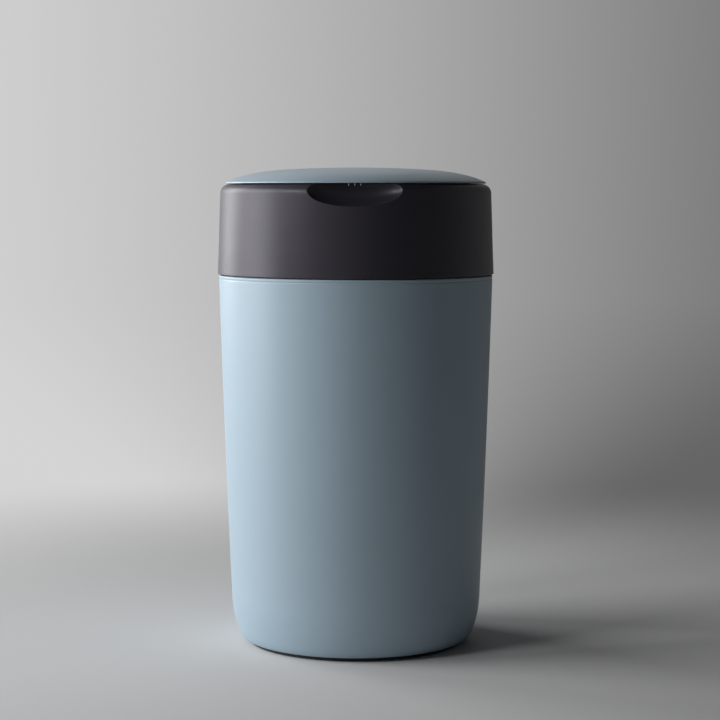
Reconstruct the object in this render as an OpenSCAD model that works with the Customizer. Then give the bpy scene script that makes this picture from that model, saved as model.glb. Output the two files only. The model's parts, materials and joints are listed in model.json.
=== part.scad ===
// Nappy bin: a tapered tub, a tilting head with a twisting film cassette, and a domed lid.
// Origin at the middle of the base, on the floor. Front is -Y, up is +Z. Millimetres.

/* [Tub] */
// Height of the tub from its underside to its rim
tub_h = 322; // [240:1:400]
// Outer radius of the tub at its rim
rim_r = 120.5; // [112:0.5:140]
// Outer radius of the tub where its side meets the rounded bottom edge
base_r = 110.8; // [100:0.5:118]
// Swell of the tub's side at half height
tub_bow = 0.5; // [0:0.1:2]
// Width of the rounded bottom edge
corner_w = 13.5; // [12:0.1:24]
// Height of the rounded bottom edge
corner_h = 48; // [20:1:80]
// Wall of the tub
tub_wall = 2.6; // [2:0.1:4]
// Rounding of the rim's outer edge
rim_round = 1.2; // [0.6:0.1:2]
// Depth of the fine groove under the rim
groove_depth = 0.4; // [0.2:0.1:0.8]
// Distance of the fine groove below the rim
groove_drop = 3.0; // [2.5:0.1:5]
// Height that the foot ring holds the tub off the floor
foot_h = 3.5; // [1.5:0.1:5]
// Outer radius of the foot ring
foot_r = 94.5; // [80:0.5:96]
// Width of the foot ring
foot_w = 10; // [6:0.5:14]
// Height of the foot ring's spigot in the tub's underside
foot_key_h = 1.2; // [0.8:0.1:1.6]

/* [Collar] */
// Height of the collar
collar_h = 78.5; // [76:0.5:100]
// How far the collar stands proud of the tub's rim
collar_proud = 1.0; // [0.5:0.1:2]
// Draft of the collar, from its foot to its shoulder
collar_draft = 2.4; // [1:0.1:4]
// Radius of the collar's rounded top edge
shoulder_r = 8; // [4:0.1:9]
// Wall of the collar
collar_wall = 2.5; // [2:0.1:3]
// Seam between the tub's rim and the collar
collar_gap = 0.8; // [0.5:0.1:1.5]
// Gap between the housing round the drum and the well's wall
well_gap = 3.8; // [3:0.1:4.8]
// Depth of the well under the lid
well_depth = 24.1; // [22:0.1:26]
// Width of the ledge at the foot of the well
ledge_w = 10; // [9:0.1:11]

/* [Finger scoop] */
// Half the width of the scoop
scoop_half_w = 41; // [30:0.5:46]
// Radius of the scoop's cross-section
scoop_r = 14.4; // [10:0.1:16]
// Depth of the scoop's middle below the collar's top
scoop_drop = 4.7; // [4:0.1:8]
// Distance of the scoop's middle inside the collar's outer face
scoop_inset = 3.1; // [1:0.1:5]
// Wall behind the scoop
scoop_wall = 2.2; // [1.5:0.1:2.5]

/* [Lid] */
// Distance of the lid's edge inside the collar's top edge
lid_inset = 4.7; // [3.5:0.1:6]
// Rise of the lid's dome above its lip
lid_rise = 14; // [11:0.1:18]
// Part of the rise that follows the square of the radius
dome_square = 5.3; // [3:0.1:6]
// Wall of the lid
lid_wall = 2.4; // [1.8:0.1:3]
// Height of the lid's upright lip edge
lip_h = 0.8; // [0.3:0.1:1]
// Seam between the collar and the lid
lid_gap = 0.5; // [0.3:0.05:0.8]
// Gap between the liner pan under the lid and the well's wall
liner_gap = 3; // [2:0.1:6]
// Depth of the liner pan below the collar's top
liner_drop = 8; // [6:0.1:10]
// Wall of the liner pan
liner_wall = 2.0; // [1.5:0.1:2.6]
// Distance of the lid's seal outside the well's edge
lid_seal_inset = 1; // [0.5:0.1:2]
// Width of the lid's seal
lid_seal_w = 3.5; // [3:0.1:4]
// Thickness of the lid's seal
lid_seal_h = 1.5; // [1:0.1:2.5]
// Pitch of the small grip ribs under the lid's front lip
rib_pitch = 5; // [4:0.1:7]
// Width of each small grip rib under the lid's front lip
rib_w = 1.2; // [0.8:0.1:2]
// Height of each small grip rib
rib_h = 2.3; // [1:0.1:3]

/* [Lid hinge] */
// Distance of the lid's hinge axis inside the collar's top edge
lid_hinge_inset = 7.6; // [7:0.1:8.6]
// Depth of the lid's hinge axis below the collar's top
lid_hinge_drop = 4.1; // [4:0.1:5]
// Radius of the lid's hinge barrel
lid_barrel_r = 3.6; // [3.2:0.1:3.7]
// Radius of the lid's hinge pin
lid_pin_r = 1.5; // [1.2:0.1:1.8]
// Half the length of the lid's own barrel
lid_barrel_half = 13.6; // [10:0.1:15]
// Width of each ear beside the lid's barrel
lid_ear_w = 5; // [4:0.1:7]
// Half the width of the hinge pocket in the collar
pocket_half = 34; // [32:0.5:38]
// Distance of the pocket's front face from the lid's hinge axis
pocket_clear = 8; // [7.5:0.1:9]
// Depth of the pocket below the collar's top
pocket_depth = 10.8; // [10:0.1:14]

/* [Head hinge] */
// Distance of the head's hinge axis inside the tub's outer face
head_hinge_inset = 5.5; // [4.8:0.1:6.5]
// Height of the head's hinge axis above the tub's rim
head_hinge_rise = 4.5; // [4:0.1:5]
// Radius of the barrel on the head
head_barrel_r = 4.2; // [3.6:0.1:4.3]
// Radius of the ears on the tub
head_ear_r = 4.4; // [4:0.1:4.6]
// Radius of the head's hinge pin
head_pin_r = 2.0; // [1.5:0.1:2.4]
// Half the length of the head's barrel
head_barrel_half = 16.5; // [12:0.5:18]
// Width of each ear on the tub
head_ear_w = 6; // [4:0.5:8]
// Half the width of the notch in the collar
notch_half = 41; // [40:0.5:46]
// Height of the notch in the collar
notch_h = 11.7; // [11:0.1:14]
// Play between the head's barrel and each ear on the tub
head_ear_play = 0.45; // [0.3:0.05:0.8]
// Distance of the chassis's rear wall from the head's hinge axis
rear_wall_clear = 7; // [6.5:0.1:8]

/* [Chassis] */
// Gap between the lip that plugs into the tub and the tub's wall
plug_gap = 1.5; // [1.3:0.1:2.4]
// Wall of the plug lip
plug_wall = 2.4; // [2:0.1:3]
// Height of the plug lip
plug_h = 14; // [10:0.5:18]
// Thickness of the chassis's flange and floors
plate_t = 2.5; // [2:0.1:3]
// Room between the housing round the drum and the tub's outer face
head_room = 29.7; // [29.5:0.1:31]
// Wall of the housing
housing_wall = 2.4; // [2:0.1:2.6]
// Distance of the housing's top below the twist rim
housing_drop = 3.5; // [1:0.1:8]
// Depth of the housing's floor below the flange
floor_drop = 6.5; // [5:0.1:8]
// Distance of the spigot that centres the drum inside the drum's wall
spigot_inset = 8.1; // [8:0.1:9.5]
// Wall of the spigot
spigot_wall = 2.5; // [2:0.1:3]
// Gap between the glide ring under the drum and the spigot
glide_gap = 1.6; // [1:0.1:2.5]
// Width of the glide ring
glide_w = 6.5; // [4:0.1:7]
// Thickness of the glide ring
glide_t = 1.8; // [1.2:0.1:2.4]
// Width of the head's seal
head_seal_w = 2.0; // [1.5:0.1:2.2]
// Thickness of the head's seal
head_seal_h = 1.2; // [0.8:0.1:1.6]
// Distance of the screws that hold the chassis outside the housing
chassis_screw_out = 11.8; // [10.5:0.1:12.5]
// Shank radius of the screws
screw_r = 1.5; // [1.2:0.1:1.8]
// Head radius of the screws
screw_head_r = 3.0; // [2.6:0.1:3.4]
// Head height of the screws
screw_head_h = 1.8; // [1.2:0.1:2]
// Radius of the screw bosses
boss_r = 4.0; // [3.6:0.1:4.5]

/* [Drum] */
// Solid rim between the drum and the roots of the ratchet's teeth
ratchet_rim_w = 3.6; // [2.5:0.1:4.5]
// Wall of the drum
drum_wall = 2.4; // [2:0.1:3]
// Gap between the tips of the ratchet's teeth and the housing
ratchet_gap = 5.8; // [5:0.1:6.5]
// Depth of the ratchet's teeth
tooth_depth = 3; // [2.5:0.1:3.2]
// Number of ratchet teeth, a multiple of 12
teeth = 60; // [48:12:72]
// Height of the ratchet's rim
ratchet_t = 6; // [5:0.5:8]
// Height of the ratchet's rim above the drum's foot
ratchet_lift = 18; // [16:0.5:22]
// Distance of the twist rim's edge inside the housing
twist_inset = 1.4; // [1:0.1:2]
// Fit of the twist rim round the drum's bore
twist_fit = 0.3; // [0.1:0.1:0.5]
// Thickness of the twist rim
twist_t = 2.4; // [2:0.1:2.4]
// Height of the twist rim's grip wall
grip_h = 11.6; // [8:0.1:13]
// Wall of the twist rim's grip
grip_wall = 2.2; // [2:0.1:2.4]
// Number of ribs round the grip
grip_ribs = 36; // [24:6:60]
// Radius of each grip rib
grip_rib_r = 1.2; // [0.8:0.1:1.4]
// Distance of the twist rim's screws outside the drum's wall
rim_screw_out = 4.6; // [4.4:0.1:5]
// Radius of the heads of the twist rim's screws
rim_head_r = 2.4; // [2:0.1:2.5]

/* [Cassette] */
// Gap between the cassette and the drum
cassette_gap = 0.5; // [0.3:0.1:1.5]
// Depth of the cassette's top below the drum's top
cassette_drop = 8.5; // [6:0.1:12]
// Room for the film between the throat sleeve and the cassette's outer face
film_room = 21.9; // [19:0.1:25]
// Height of the throat sleeve above the cassette's top
sleeve_rise = 3.5; // [2.5:0.1:5]
// Walls of the cassette
cassette_wall = 1.8; // [1.4:0.1:2.2]
// Width of the slot that the film comes up through
slot_w = 4.2; // [3:0.1:6]
// Thickness of the cassette's cap
cap_t = 2.0; // [1.4:0.1:2.4]
// Number of pleats in the packed film
pleats = 16; // [8:1:20]
// Depth of each pleat
pleat_depth = 0.9; // [0.4:0.1:1.4]
// Thickness drawn for the film
film_t = 0.8; // [0.5:0.1:1]

/* [Fins and cutter] */
// Distance of the fin disc's edge inside the ring that holds it
fin_inset = 1.9; // [1:0.1:3]
// Radius of the hole in the middle of the fin disc
fin_hole_r = 20; // [16:0.5:20.5]
// Thickness of the fin disc
fin_t = 1.6; // [1:0.1:2]
// Number of fins
fins = 12; // [8:1:16]
// Width of the slit between two fins
slit_w = 1.0; // [0.6:0.1:1.5]
// Distance of the ring that holds the fins inside the housing
retainer_inset = 15.9; // [15.5:0.1:17]
// Width of the ring that holds the fins
retainer_w = 14.9; // [13:0.1:16]
// Distance between the end of each slit and the ring that holds the fins
slit_end = 2; // [1:0.1:4]
// Height of the ring that holds the fins
retainer_h = 6.1; // [6:0.1:7]
// Width of the flange that carries the cutter ring
retainer_flange_w = 4.1; // [3.5:0.1:5]
// Distance of the retainer's screws outside its inner edge
retainer_screw_in = 7.5; // [6.5:0.1:8]
// Thickness of the flange that carries the cutter ring
retainer_flange_t = 2.2; // [1.8:0.1:2.6]
// Width of the cutter ring
cutter_w = 9; // [8:0.1:10]
// Width of the arm that holds the blade
cutter_arm_w = 12; // [10:0.5:16]
// Thickness of the arm that holds the blade
cutter_arm_t = 2.7; // [2:0.1:3]
// How far the blade's point reaches inside the ring that holds the fins
blade_reach = 14; // [10:0.5:18]
// Thickness of the blade
blade_t = 0.6; // [0.4:0.1:1]
// Radius of the cutter's knob
knob_r = 7; // [5:0.5:8]
// Height of the cutter's knob
knob_h = 12; // [8:0.5:14]
// Distance of the knob's middle inside the cutter ring's arm
knob_inset = 3.6; // [3:0.1:4.5]
// Play between the cutter ring's arm and the retainer's flange
cutter_play = 0.4; // [0.3:0.1:0.8]

/* [Pawls] */
// Distance of each pawl's pivot outside the tips of the ratchet's teeth
pawl_out = 14.96; // [14.5:0.01:15.5]
// Angle of each pawl's pivot behind the tooth that it holds
pawl_lag = 13; // [12.5:0.1:13.5]
// Thickness of each pawl
pawl_t = 5; // [4:0.1:5.5]
// Radius of each pawl's pivot pin
pawl_pin_r = 1.5; // [1.2:0.1:1.8]
// Radius of each pawl's eye
pawl_eye_r = 4.2; // [3.8:0.1:4.4]

/* [Release buttons] */
// Half the width of each button
button_half = 14; // [12:0.5:16]
// Height of each button
button_h = 20; // [16:0.5:24]
// Height of each button's foot above the collar's foot
button_lift = 14.7; // [13:0.1:18]
// Travel of each button
button_travel = 4; // [3:0.1:4]
// Distance of each button's arm outside the housing, at its inner face
arm_out = 10.8; // [10.8:0.1:12]
// Thickness of each button's arm
arm_t = 3; // [2.5:0.1:3.5]
// Half the width of each button's arm
arm_half = 10; // [8:0.5:11]
// Height of the hooked nose at the foot of each arm
nose_h = 4.7; // [4:0.1:6]
// Depth of the catch ledge inside the tub
ledge_depth = 0.75; // [0.5:0.05:0.8]
// Height of the catch ledge inside the tub
ledge_h = 2.5; // [2:0.1:3]
// Radius of each button's spring
spring_r = 4; // [3:0.1:5]
// Wire radius of each button's spring
spring_wire_r = 0.5; // [0.4:0.05:0.7]
// Number of turns in each button's spring
spring_turns = 5; // [4:1:7]

/* [Fits] */
// Running clearance round pins
pin_fit = 0.06; // [0.03:0.01:0.1]
// Gap between rigid pieces that move past each other
run_gap = 0.3; // [0.2:0.05:0.4]
// Gap between rigid pieces that are fixed together
fix_gap = 0.1; // [0.05:0.05:0.2]

/* [Hidden] */
$fn = 180;
// Overlap that fuses two forms, reach past the whole model, and reach of a cut past its face
tiny = 0.01;
big = 600;
cut = 1;
hole_fn = 48;

// Heights that follow from the driving sizes
tub_z0 = foot_h;
rim_z = tub_z0 + tub_h;
side_z = tub_z0 + corner_h;
collar_z0 = rim_z + collar_gap;
collar_z1 = collar_z0 + collar_h;
lip_z = collar_z1 + lid_gap;
apex_z = lip_z + lid_rise;
head_hinge_z = rim_z + head_hinge_rise;
lid_hinge_z = collar_z1 - lid_hinge_drop;

// Radii that follow from the driving sizes
collar_r = rim_r + collar_proud;
collar_top_r = collar_r - collar_draft;
lid_r = collar_top_r - lid_inset;
lid_hinge_y = collar_top_r - lid_hinge_inset;
pocket_y = lid_hinge_y - pocket_clear;
head_hinge_y = rim_r - head_hinge_inset;
rear_wall_y = head_hinge_y - rear_wall_clear;
flat_r = base_r - corner_w;
foot_key_w = foot_w * 2 / 5;
foot_key_r = foot_r - (foot_w - foot_key_w) / 2;
tub_in_r = rim_r - tub_wall;

// Chassis, from its flange downwards and upwards
flange_z0 = rim_z + head_seal_h + run_gap;
flange_z1 = flange_z0 + plate_t;
flange_inset = 0.7;
flange_r = collar_r - collar_wall - flange_inset;
plug_r = tub_in_r - plug_gap;
plug_z = flange_z0 - plug_h;
floor_z0 = flange_z0 - floor_drop;
floor_z1 = floor_z0 + plate_t;
housing_r = rim_r - head_room;
housing_out_r = housing_r + housing_wall;
head_seal_out = 0.5;
head_seal_r = flange_r + head_seal_out;
chassis_screw_pcr = housing_out_r + chassis_screw_out;

// Well, drum and twist rim
well_r = housing_out_r + well_gap;
well_z = collar_z1 - well_depth;
well_plate_z = well_z - plate_t;
deck_r = well_r - ledge_w;
liner_r = well_r - liner_gap;
pan_z = collar_z1 - liner_drop;
liner_sink = 1.2;
lid_head_h = 1.0;
lid_seal_r = well_r + lid_seal_inset;
drum_play = 0.2;
drum_z = floor_z1 + glide_t + drum_play;
twist_z = well_plate_z - run_gap;
drum_top_z = twist_z - twist_t;
housing_top_z = drum_top_z - housing_drop;
ratchet_z = drum_z + ratchet_lift;
ratchet_r = housing_r - ratchet_gap;
tooth_root_r = ratchet_r - tooth_depth;
drum_out_r = tooth_root_r - ratchet_rim_w;
drum_r = drum_out_r - drum_wall;
spigot_r = drum_r - spigot_inset;
spigot_z = drum_z + plate_t - run_gap;
glide_in_r = spigot_r + glide_gap;
glide_r = glide_in_r + glide_w;
twist_r = housing_r - twist_inset;
twist_in_r = drum_r + twist_fit;
grip_r = twist_in_r + grip_wall;
rim_screw_pcr = drum_out_r + rim_screw_out;
rim_boss_h = 15;
rim_boss_r = rim_screw_pcr - drum_out_r + fix_gap;
rim_screw_l = 12;

// Cassette
cassette_z = drum_z + plate_t;
cassette_r = drum_r - cassette_gap;
cassette_top_z = drum_top_z - cassette_drop;
sleeve_r = cassette_r - film_room;
sleeve_in_r = sleeve_r - cassette_wall;
sleeve_top_z = cassette_top_z + sleeve_rise;
film_z0 = cassette_z + cassette_wall + run_gap;
film_z1 = cassette_top_z - run_gap;
film_clear = 1.2;
film_in_r = sleeve_r + pleat_depth + film_clear;
film_out_r = cassette_r - cassette_wall - pleat_depth - run_gap;

// Fins, retainer and cutter
fin_z = floor_z0 - fin_t;
retainer_z = fin_z - retainer_h;
retainer_r = housing_r - retainer_inset;
retainer_in_r = retainer_r - retainer_w;
retainer_flange_r = retainer_r + retainer_flange_w;
retainer_screw_pcr = retainer_in_r + retainer_screw_in;
fin_r = retainer_r - fin_inset;
slit_r = retainer_in_r - slit_end;
cutter_in_r = retainer_r + fix_gap;
cutter_r = cutter_in_r + cutter_w;
cutter_z0 = retainer_z + retainer_flange_t + run_gap;
cutter_z1 = floor_z0 - run_gap;
cutter_post_r = retainer_flange_r + cutter_play;
cutter_arm_z = retainer_z - run_gap - cutter_arm_t;
blade_z = cutter_arm_z - blade_t;
blade_tip = retainer_in_r - blade_reach;
blade_root = blade_tip + cutter_arm_w;
knob_x = cutter_post_r - knob_inset;
blade_end = knob_x - knob_r - run_gap;

// Pawls: angles of the two pawls, each on a ratchet tooth
pawl_angles = [36, 216];
pawl_z = ratchet_z + (ratchet_t - pawl_t) / 2;
pawl_pivot_r = ratchet_r + pawl_out;
pawl_pivot = [pawl_pivot_r * cos(pawl_lag), -pawl_pivot_r * sin(pawl_lag)];
tooth_pitch = 360 / teeth;
pawl_post_z = pawl_z - run_gap;
pawl_window = [-19, 5];

// Screw positions, in degrees round the head
chassis_screw_angles = [45, 135, 225, 270, 315];
rim_screws_n = 6;
retainer_screws_n = 6;
chassis_screw_l = 14;
screw_tip_gap = 1;
lid_screw_angles = [45, 135, 225, 315];
lid_screw_pcr = 70;
lid_screw_l = 7;

// Release buttons
button_z0 = collar_z0 + button_lift;
button_z1 = button_z0 + button_h;
arm_x = housing_out_r + arm_out;
arm_drop = 3;
arm_top_z = button_z1 - arm_drop;
nose_play = 0.2;
nose_z1 = plug_z - nose_play;
nose_z0 = nose_z1 - nose_h;
ledge_z0 = nose_z1 + run_gap;
spring_z = button_z0 + spring_r;
spring_seat = 0.15;
spring_x0 = housing_out_r + spring_seat;
spring_x1 = arm_x - spring_seat;

function q(r) = r / lid_r;
function dome_drop(r) = dome_square * pow(q(r), 2)
    + (lid_rise - lip_h - dome_square) * pow(q(r), 6);
function side_u(z) = (z - side_z) / (rim_z - side_z);
function side_r(z) = base_r + (rim_r - base_r) * side_u(z) + 4 * tub_bow * side_u(z) * (1 - side_u(z));
function corner_pt(inset, t) = [
    flat_r + (corner_w - inset) * sin(t),
    side_z - (corner_h - inset) * cos(t)];
corner_steps = [for (t = [0 : 7.5 : 90]) t];
side_steps = [for (u = [1 : 7]) side_z + (rim_z - side_z) * u / 8];
dome_steps = [0, 0.2, 0.35, 0.5, 0.62, 0.72, 0.8, 0.86, 0.91, 0.95, 0.98, 1];

// Ring about the vertical axis
module ring(r_in, r_out, z0, z1) {
    rotate_extrude()
        translate([r_in, z0])
            square([r_out - r_in, z1 - z0]);
}

// Round rod along X, centred on the middle plane
module rod_x(r, half, y, z) {
    translate([-half, y, z])
        rotate([0, 90, 0])
            cylinder(r = r, h = 2 * half, $fn = hole_fn);
}

// Box given by its low and high corners
module block(low, high) {
    translate(low)
        cube(high - low);
}

// Upright round post
module post(r, z0, z1) {
    translate([0, 0, z0])
        cylinder(r = r, h = z1 - z0, $fn = hole_fn);
}

// Children at each angle of a list, on a circle
module round_at(angles, radius) {
    for (a = angles)
        rotate([0, 0, a])
            translate([radius, 0, 0])
                children();
}

function even_angles(n, first = 0) = [for (i = [0 : n - 1]) first + 360 * i / n];

// Both ears of a hinge: a rounded block on each side of the barrel
module ear_pair(r, inner, w, y, z, foot_low, foot_y) {
    for (s = [-1, 1])
        translate([s * (inner + w / 2), 0, 0]) {
            rod_x(r, w / 2, y, z);
            block([-w / 2, foot_y[0], foot_low], [w / 2, foot_y[1], z]);
        }
}

// Tub outline: outer face up, round the rim, and down the inner face
module tub_outline() {
    rim_c = [rim_r - rim_round, rim_z - rim_round];
    groove_z = rim_z - groove_drop;
    outer = concat(
        [[0, tub_z0]],
        [for (t = corner_steps) corner_pt(0, t)],
        [for (z = side_steps) [side_r(z), z]],
        [[side_r(groove_z - groove_depth), groove_z - groove_depth],
         [side_r(groove_z) - groove_depth, groove_z],
         [side_r(groove_z + groove_depth), groove_z + groove_depth]],
        [for (a = [0 : 22.5 : 90]) rim_c + rim_round * [cos(a), sin(a)]]);
    inner = concat(
        [[rim_r - tub_wall, rim_z]],
        [for (i = [len(side_steps) - 1 : -1 : 0]) [side_r(side_steps[i]) - tub_wall, side_steps[i]]],
        [for (i = [len(corner_steps) - 1 : -1 : 0]) corner_pt(tub_wall, corner_steps[i])],
        [[0, tub_z0 + tub_wall]]);
    polygon(concat(outer, inner));
}

// Catch ledges inside the tub, one under each release button
module catch_ledges() {
    wall_r = side_r(ledge_z0) - tub_wall;
    side_over = 2;
    intersection() {
        ring(wall_r - ledge_depth, wall_r + tub_wall / 2, ledge_z0, ledge_z0 + ledge_h);
        block([-big, -arm_half - side_over, 0], [big, arm_half + side_over, big]);
    }
}

module tub() {
    ear_foot = rim_z - plug_h + fix_gap;
    color([0.60, 0.69, 0.75])
        difference() {
            union() {
                rotate_extrude()
                    tub_outline();
                catch_ledges();
                ear_pair(head_ear_r, head_barrel_half + head_ear_play, head_ear_w, head_hinge_y,
                    head_hinge_z, ear_foot, [head_hinge_y - head_ear_r, head_hinge_y + tub_wall]);
            }
            rod_x(head_pin_r, notch_half, head_hinge_y, head_hinge_z);
            ring(foot_key_r - foot_key_w, foot_key_r, tub_z0 - tiny, tub_z0 + foot_key_h);
        }
}

module foot_ring() {
    color([0.16, 0.17, 0.18]) {
        ring(foot_r - foot_w, foot_r, 0, foot_h);
        ring(foot_key_r - foot_key_w, foot_key_r, foot_h, foot_h + foot_key_h);
    }
}

module head_hinge_pin() {
    color([0.72, 0.73, 0.75])
        rod_x(head_pin_r, head_barrel_half + head_ear_play + head_ear_w, head_hinge_y, head_hinge_z);
}

// Outer face of the collar, from its foot over the shoulder
collar_face = concat(
    [[collar_r, collar_z0]],
    [for (a = [0 : 11.25 : 90])
        [collar_top_r - shoulder_r, collar_z1 - shoulder_r] + shoulder_r * [cos(a), sin(a)]]);

// Solid that fills the collar's outer face, for trimming what lies inside it
module collar_filled() {
    rotate_extrude()
        polygon(concat([[0, collar_z0]], collar_face, [[0, collar_z1]]));
}

// Spindle along X that hollows the finger scoop
module scoop_form(extra) {
    translate([0, scoop_inset - collar_top_r, collar_z1 - scoop_drop])
        rotate([0, 90, 0])
            rotate_extrude()
                polygon([for (t = [-90 : 10 : 90])
                    [(scoop_r + extra) * cos(t), (scoop_half_w + extra) * sin(t)]]);
}

// Pocket in the collar's rear that the lid's hinge turns in
module hinge_pocket(extra) {
    block([-pocket_half - extra, pocket_y - extra, collar_z1 - pocket_depth - extra],
        [pocket_half + extra, big, collar_z1 + big * (extra == 0 ? 1 : 0)]);
}

// Window for one release button, at +X
module button_window(extra) {
    block([arm_x + arm_t, -button_half - extra, button_z0 - extra],
        [big, button_half + extra, button_z1 + extra]);
}

module collar() {
    skirt_in = collar_r - collar_wall;
    skirt_top_in = collar_top_r - collar_wall;
    shell = concat(
        collar_face,
        [[well_r, collar_z1],
         [well_r, well_z],
         [deck_r, well_z],
         [deck_r, well_plate_z],
         [well_r + collar_wall, well_plate_z],
         [well_r + collar_wall, collar_z1 - collar_wall],
         [skirt_top_in - shoulder_r + collar_wall, collar_z1 - collar_wall],
         [skirt_top_in, collar_z1 - shoulder_r],
         [skirt_in, collar_z0]]);
    color([0.20, 0.195, 0.21])
        union() {
            difference() {
                union() {
                    rotate_extrude()
                        polygon(shell);
                    intersection() {
                        collar_filled();
                        union() {
                            scoop_form(scoop_wall);
                            hinge_pocket(collar_wall);
                        }
                    }
                    round_at(chassis_screw_angles, chassis_screw_pcr)
                        post(boss_r, flange_z1, collar_z1 - well_depth + fix_gap);
                    collar_boss_webs();
                }
                scoop_form(0);
                hinge_pocket(0);
                block([-notch_half, 0, 0], [notch_half, big, collar_z0 + notch_h]);
                for (m = [0, 1])
                    mirror([m, 0, 0])
                        button_window(run_gap);
                round_at(chassis_screw_angles, chassis_screw_pcr)
                    post(screw_r, flange_z1 - tiny, flange_z1 + chassis_screw_l);
            }
            difference() {
                ear_pair(lid_barrel_r, lid_barrel_half + run_gap, lid_ear_w, lid_hinge_y, lid_hinge_z,
                    collar_z1 - pocket_depth - tiny,
                    [lid_hinge_y - lid_barrel_r, lid_hinge_y + lid_barrel_r]);
                rod_x(lid_pin_r, pocket_half, lid_hinge_y, lid_hinge_z);
            }
        }
}

// Webs that tie each screw boss to the well's wall
module collar_boss_webs() {
    web_half = 1;
    web_h = 12;
    for (a = chassis_screw_angles)
        rotate([0, 0, a])
            block([well_r + collar_wall / 2, -web_half, well_plate_z - web_h],
                [chassis_screw_pcr, web_half, collar_z1 - scoop_r - scoop_drop - scoop_wall]);
}

module head_chassis() {
    lip_in = plug_r - plug_wall;
    rear_top_z = collar_z0 + notch_h + plate_t;
    barrel_web = 1;
    arm_play = 1;
    boss_play = 0.2;
    color([0.78, 0.79, 0.80])
        difference() {
            union() {
                difference() {
                    union() {
                        ring(lip_in, plug_r, plug_z, flange_z0 + tiny);
                        ring(housing_r, flange_r, flange_z0, flange_z1);
                    }
                    block([-notch_half, rear_wall_y, 0], [notch_half, big, big]);
                }
                ring(housing_r, housing_out_r, floor_z0, housing_top_z);
                ring(spigot_r - spigot_wall, housing_out_r, floor_z0, floor_z1);
                ring(spigot_r - spigot_wall, spigot_r, floor_z0, spigot_z);
                rear_wall(rear_top_z);
                rod_x(head_barrel_r, head_barrel_half, head_hinge_y, head_hinge_z);
                block([-head_barrel_half, rear_wall_y - plug_wall, head_hinge_z + barrel_web],
                    [head_barrel_half, head_hinge_y + barrel_web, rear_top_z - plate_t]);
                pawl_posts();
                button_guides();
            }
            rod_x(head_pin_r + pin_fit, notch_half, head_hinge_y, head_hinge_z);
            for (m = [0, 1])
                mirror([m, 0, 0])
                    block([arm_x - button_travel - arm_play, -arm_half - run_gap, flange_z0 - cut],
                        [arm_x + arm_t + arm_play, arm_half + run_gap, flange_z1 + cut]);
            round_at(chassis_screw_angles, chassis_screw_pcr)
                post(screw_r + boss_play, flange_z0 - cut, flange_z1 + cut);
            for (a = pawl_angles)
                rotate([0, 0, a]) {
                    pawl_slot();
                    translate([pawl_pivot[0], pawl_pivot[1], 0])
                        post(pawl_pin_r, flange_z1 + plate_t, pawl_z + pawl_t);
                }
            round_at(even_angles(retainer_screws_n), retainer_screw_pcr)
                post(screw_r, floor_z0 - cut, floor_z1 + cut);
        }
}

// Upright wall that closes the plug lip behind the hinge notch
module rear_wall(top_z) {
    intersection() {
        block([-notch_half - plug_wall, rear_wall_y - plug_wall, plug_z],
            [notch_half + plug_wall, rear_wall_y, top_z]);
        post(plug_r, 0, big);
    }
}

// Posts that the pawl pins stand in
module pawl_posts() {
    for (a = pawl_angles)
        rotate([0, 0, a])
            translate([pawl_pivot[0], pawl_pivot[1], 0])
                post(pawl_eye_r, flange_z1 - tiny, pawl_post_z);
}

// Window in the housing that one pawl reaches through
module pawl_slot() {
    play = 1;
    low = pawl_window[0];
    high = pawl_window[1];
    intersection() {
        ring(housing_r - cut, housing_out_r + cut, pawl_z - play, pawl_z + pawl_t + play);
        linear_extrude(big)
            polygon([
                [0, 0],
                big * [cos(low), sin(low)],
                [big, 0],
                big * [cos(high), sin(high)]]);
    }
}

// Rails on each side of the release buttons' arms
module button_guides() {
    guide_w = 2.2;
    guide_h = 20;
    guide_over = 1;
    for (m = [0, 1], s = [-1, 1])
        mirror([m, 0, 0])
            translate([0, s * (arm_half + run_gap + guide_w / 2), 0])
                block([housing_out_r - fix_gap, -guide_w / 2, flange_z1 - tiny],
                    [arm_x + arm_t + guide_over, guide_w / 2, flange_z1 + guide_h]);
}

module chassis_screws() {
    color([0.62, 0.63, 0.65])
        round_at(chassis_screw_angles, chassis_screw_pcr) {
            post(screw_r, flange_z0, flange_z1 + chassis_screw_l - screw_tip_gap);
            post(screw_head_r, flange_z0 - screw_head_h, flange_z0);
        }
}

module head_seal() {
    color([0.14, 0.15, 0.16])
        difference() {
            ring(head_seal_r - head_seal_w, head_seal_r, flange_z0 - head_seal_h, flange_z0);
            block([-notch_half, 0, 0], [notch_half, big, big]);
        }
}

module glide_ring() {
    color([0.90, 0.90, 0.88])
        ring(glide_in_r, glide_r, floor_z1, floor_z1 + glide_t);
}

module lid_hinge_pin() {
    color([0.72, 0.73, 0.75])
        rod_x(lid_pin_r, lid_barrel_half + run_gap + lid_ear_w, lid_hinge_y, lid_hinge_z);
}

module fin_disc() {
    color([0.22, 0.24, 0.26])
        difference() {
            ring(fin_hole_r, fin_r, fin_z, floor_z0);
            for (a = even_angles(fins, 360 / fins / 4))
                rotate([0, 0, a])
                    block([fin_hole_r - cut, -slit_w / 2, fin_z - cut], [slit_r, slit_w / 2, floor_z0 + cut]);
            round_at(even_angles(retainer_screws_n), retainer_screw_pcr)
                post(screw_r + fix_gap, fin_z - cut, floor_z0 + cut);
        }
}

module fin_retainer() {
    color([0.78, 0.79, 0.80])
        difference() {
            union() {
                ring(retainer_in_r, retainer_r, retainer_z, fin_z);
                ring(retainer_in_r, retainer_flange_r, retainer_z, retainer_z + retainer_flange_t);
            }
            round_at(even_angles(retainer_screws_n), retainer_screw_pcr) {
                post(screw_r + fix_gap, retainer_z - cut, fin_z + cut);
                post(screw_head_r + fix_gap, retainer_z - cut, retainer_z + screw_head_h + fix_gap);
            }
        }
}

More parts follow.
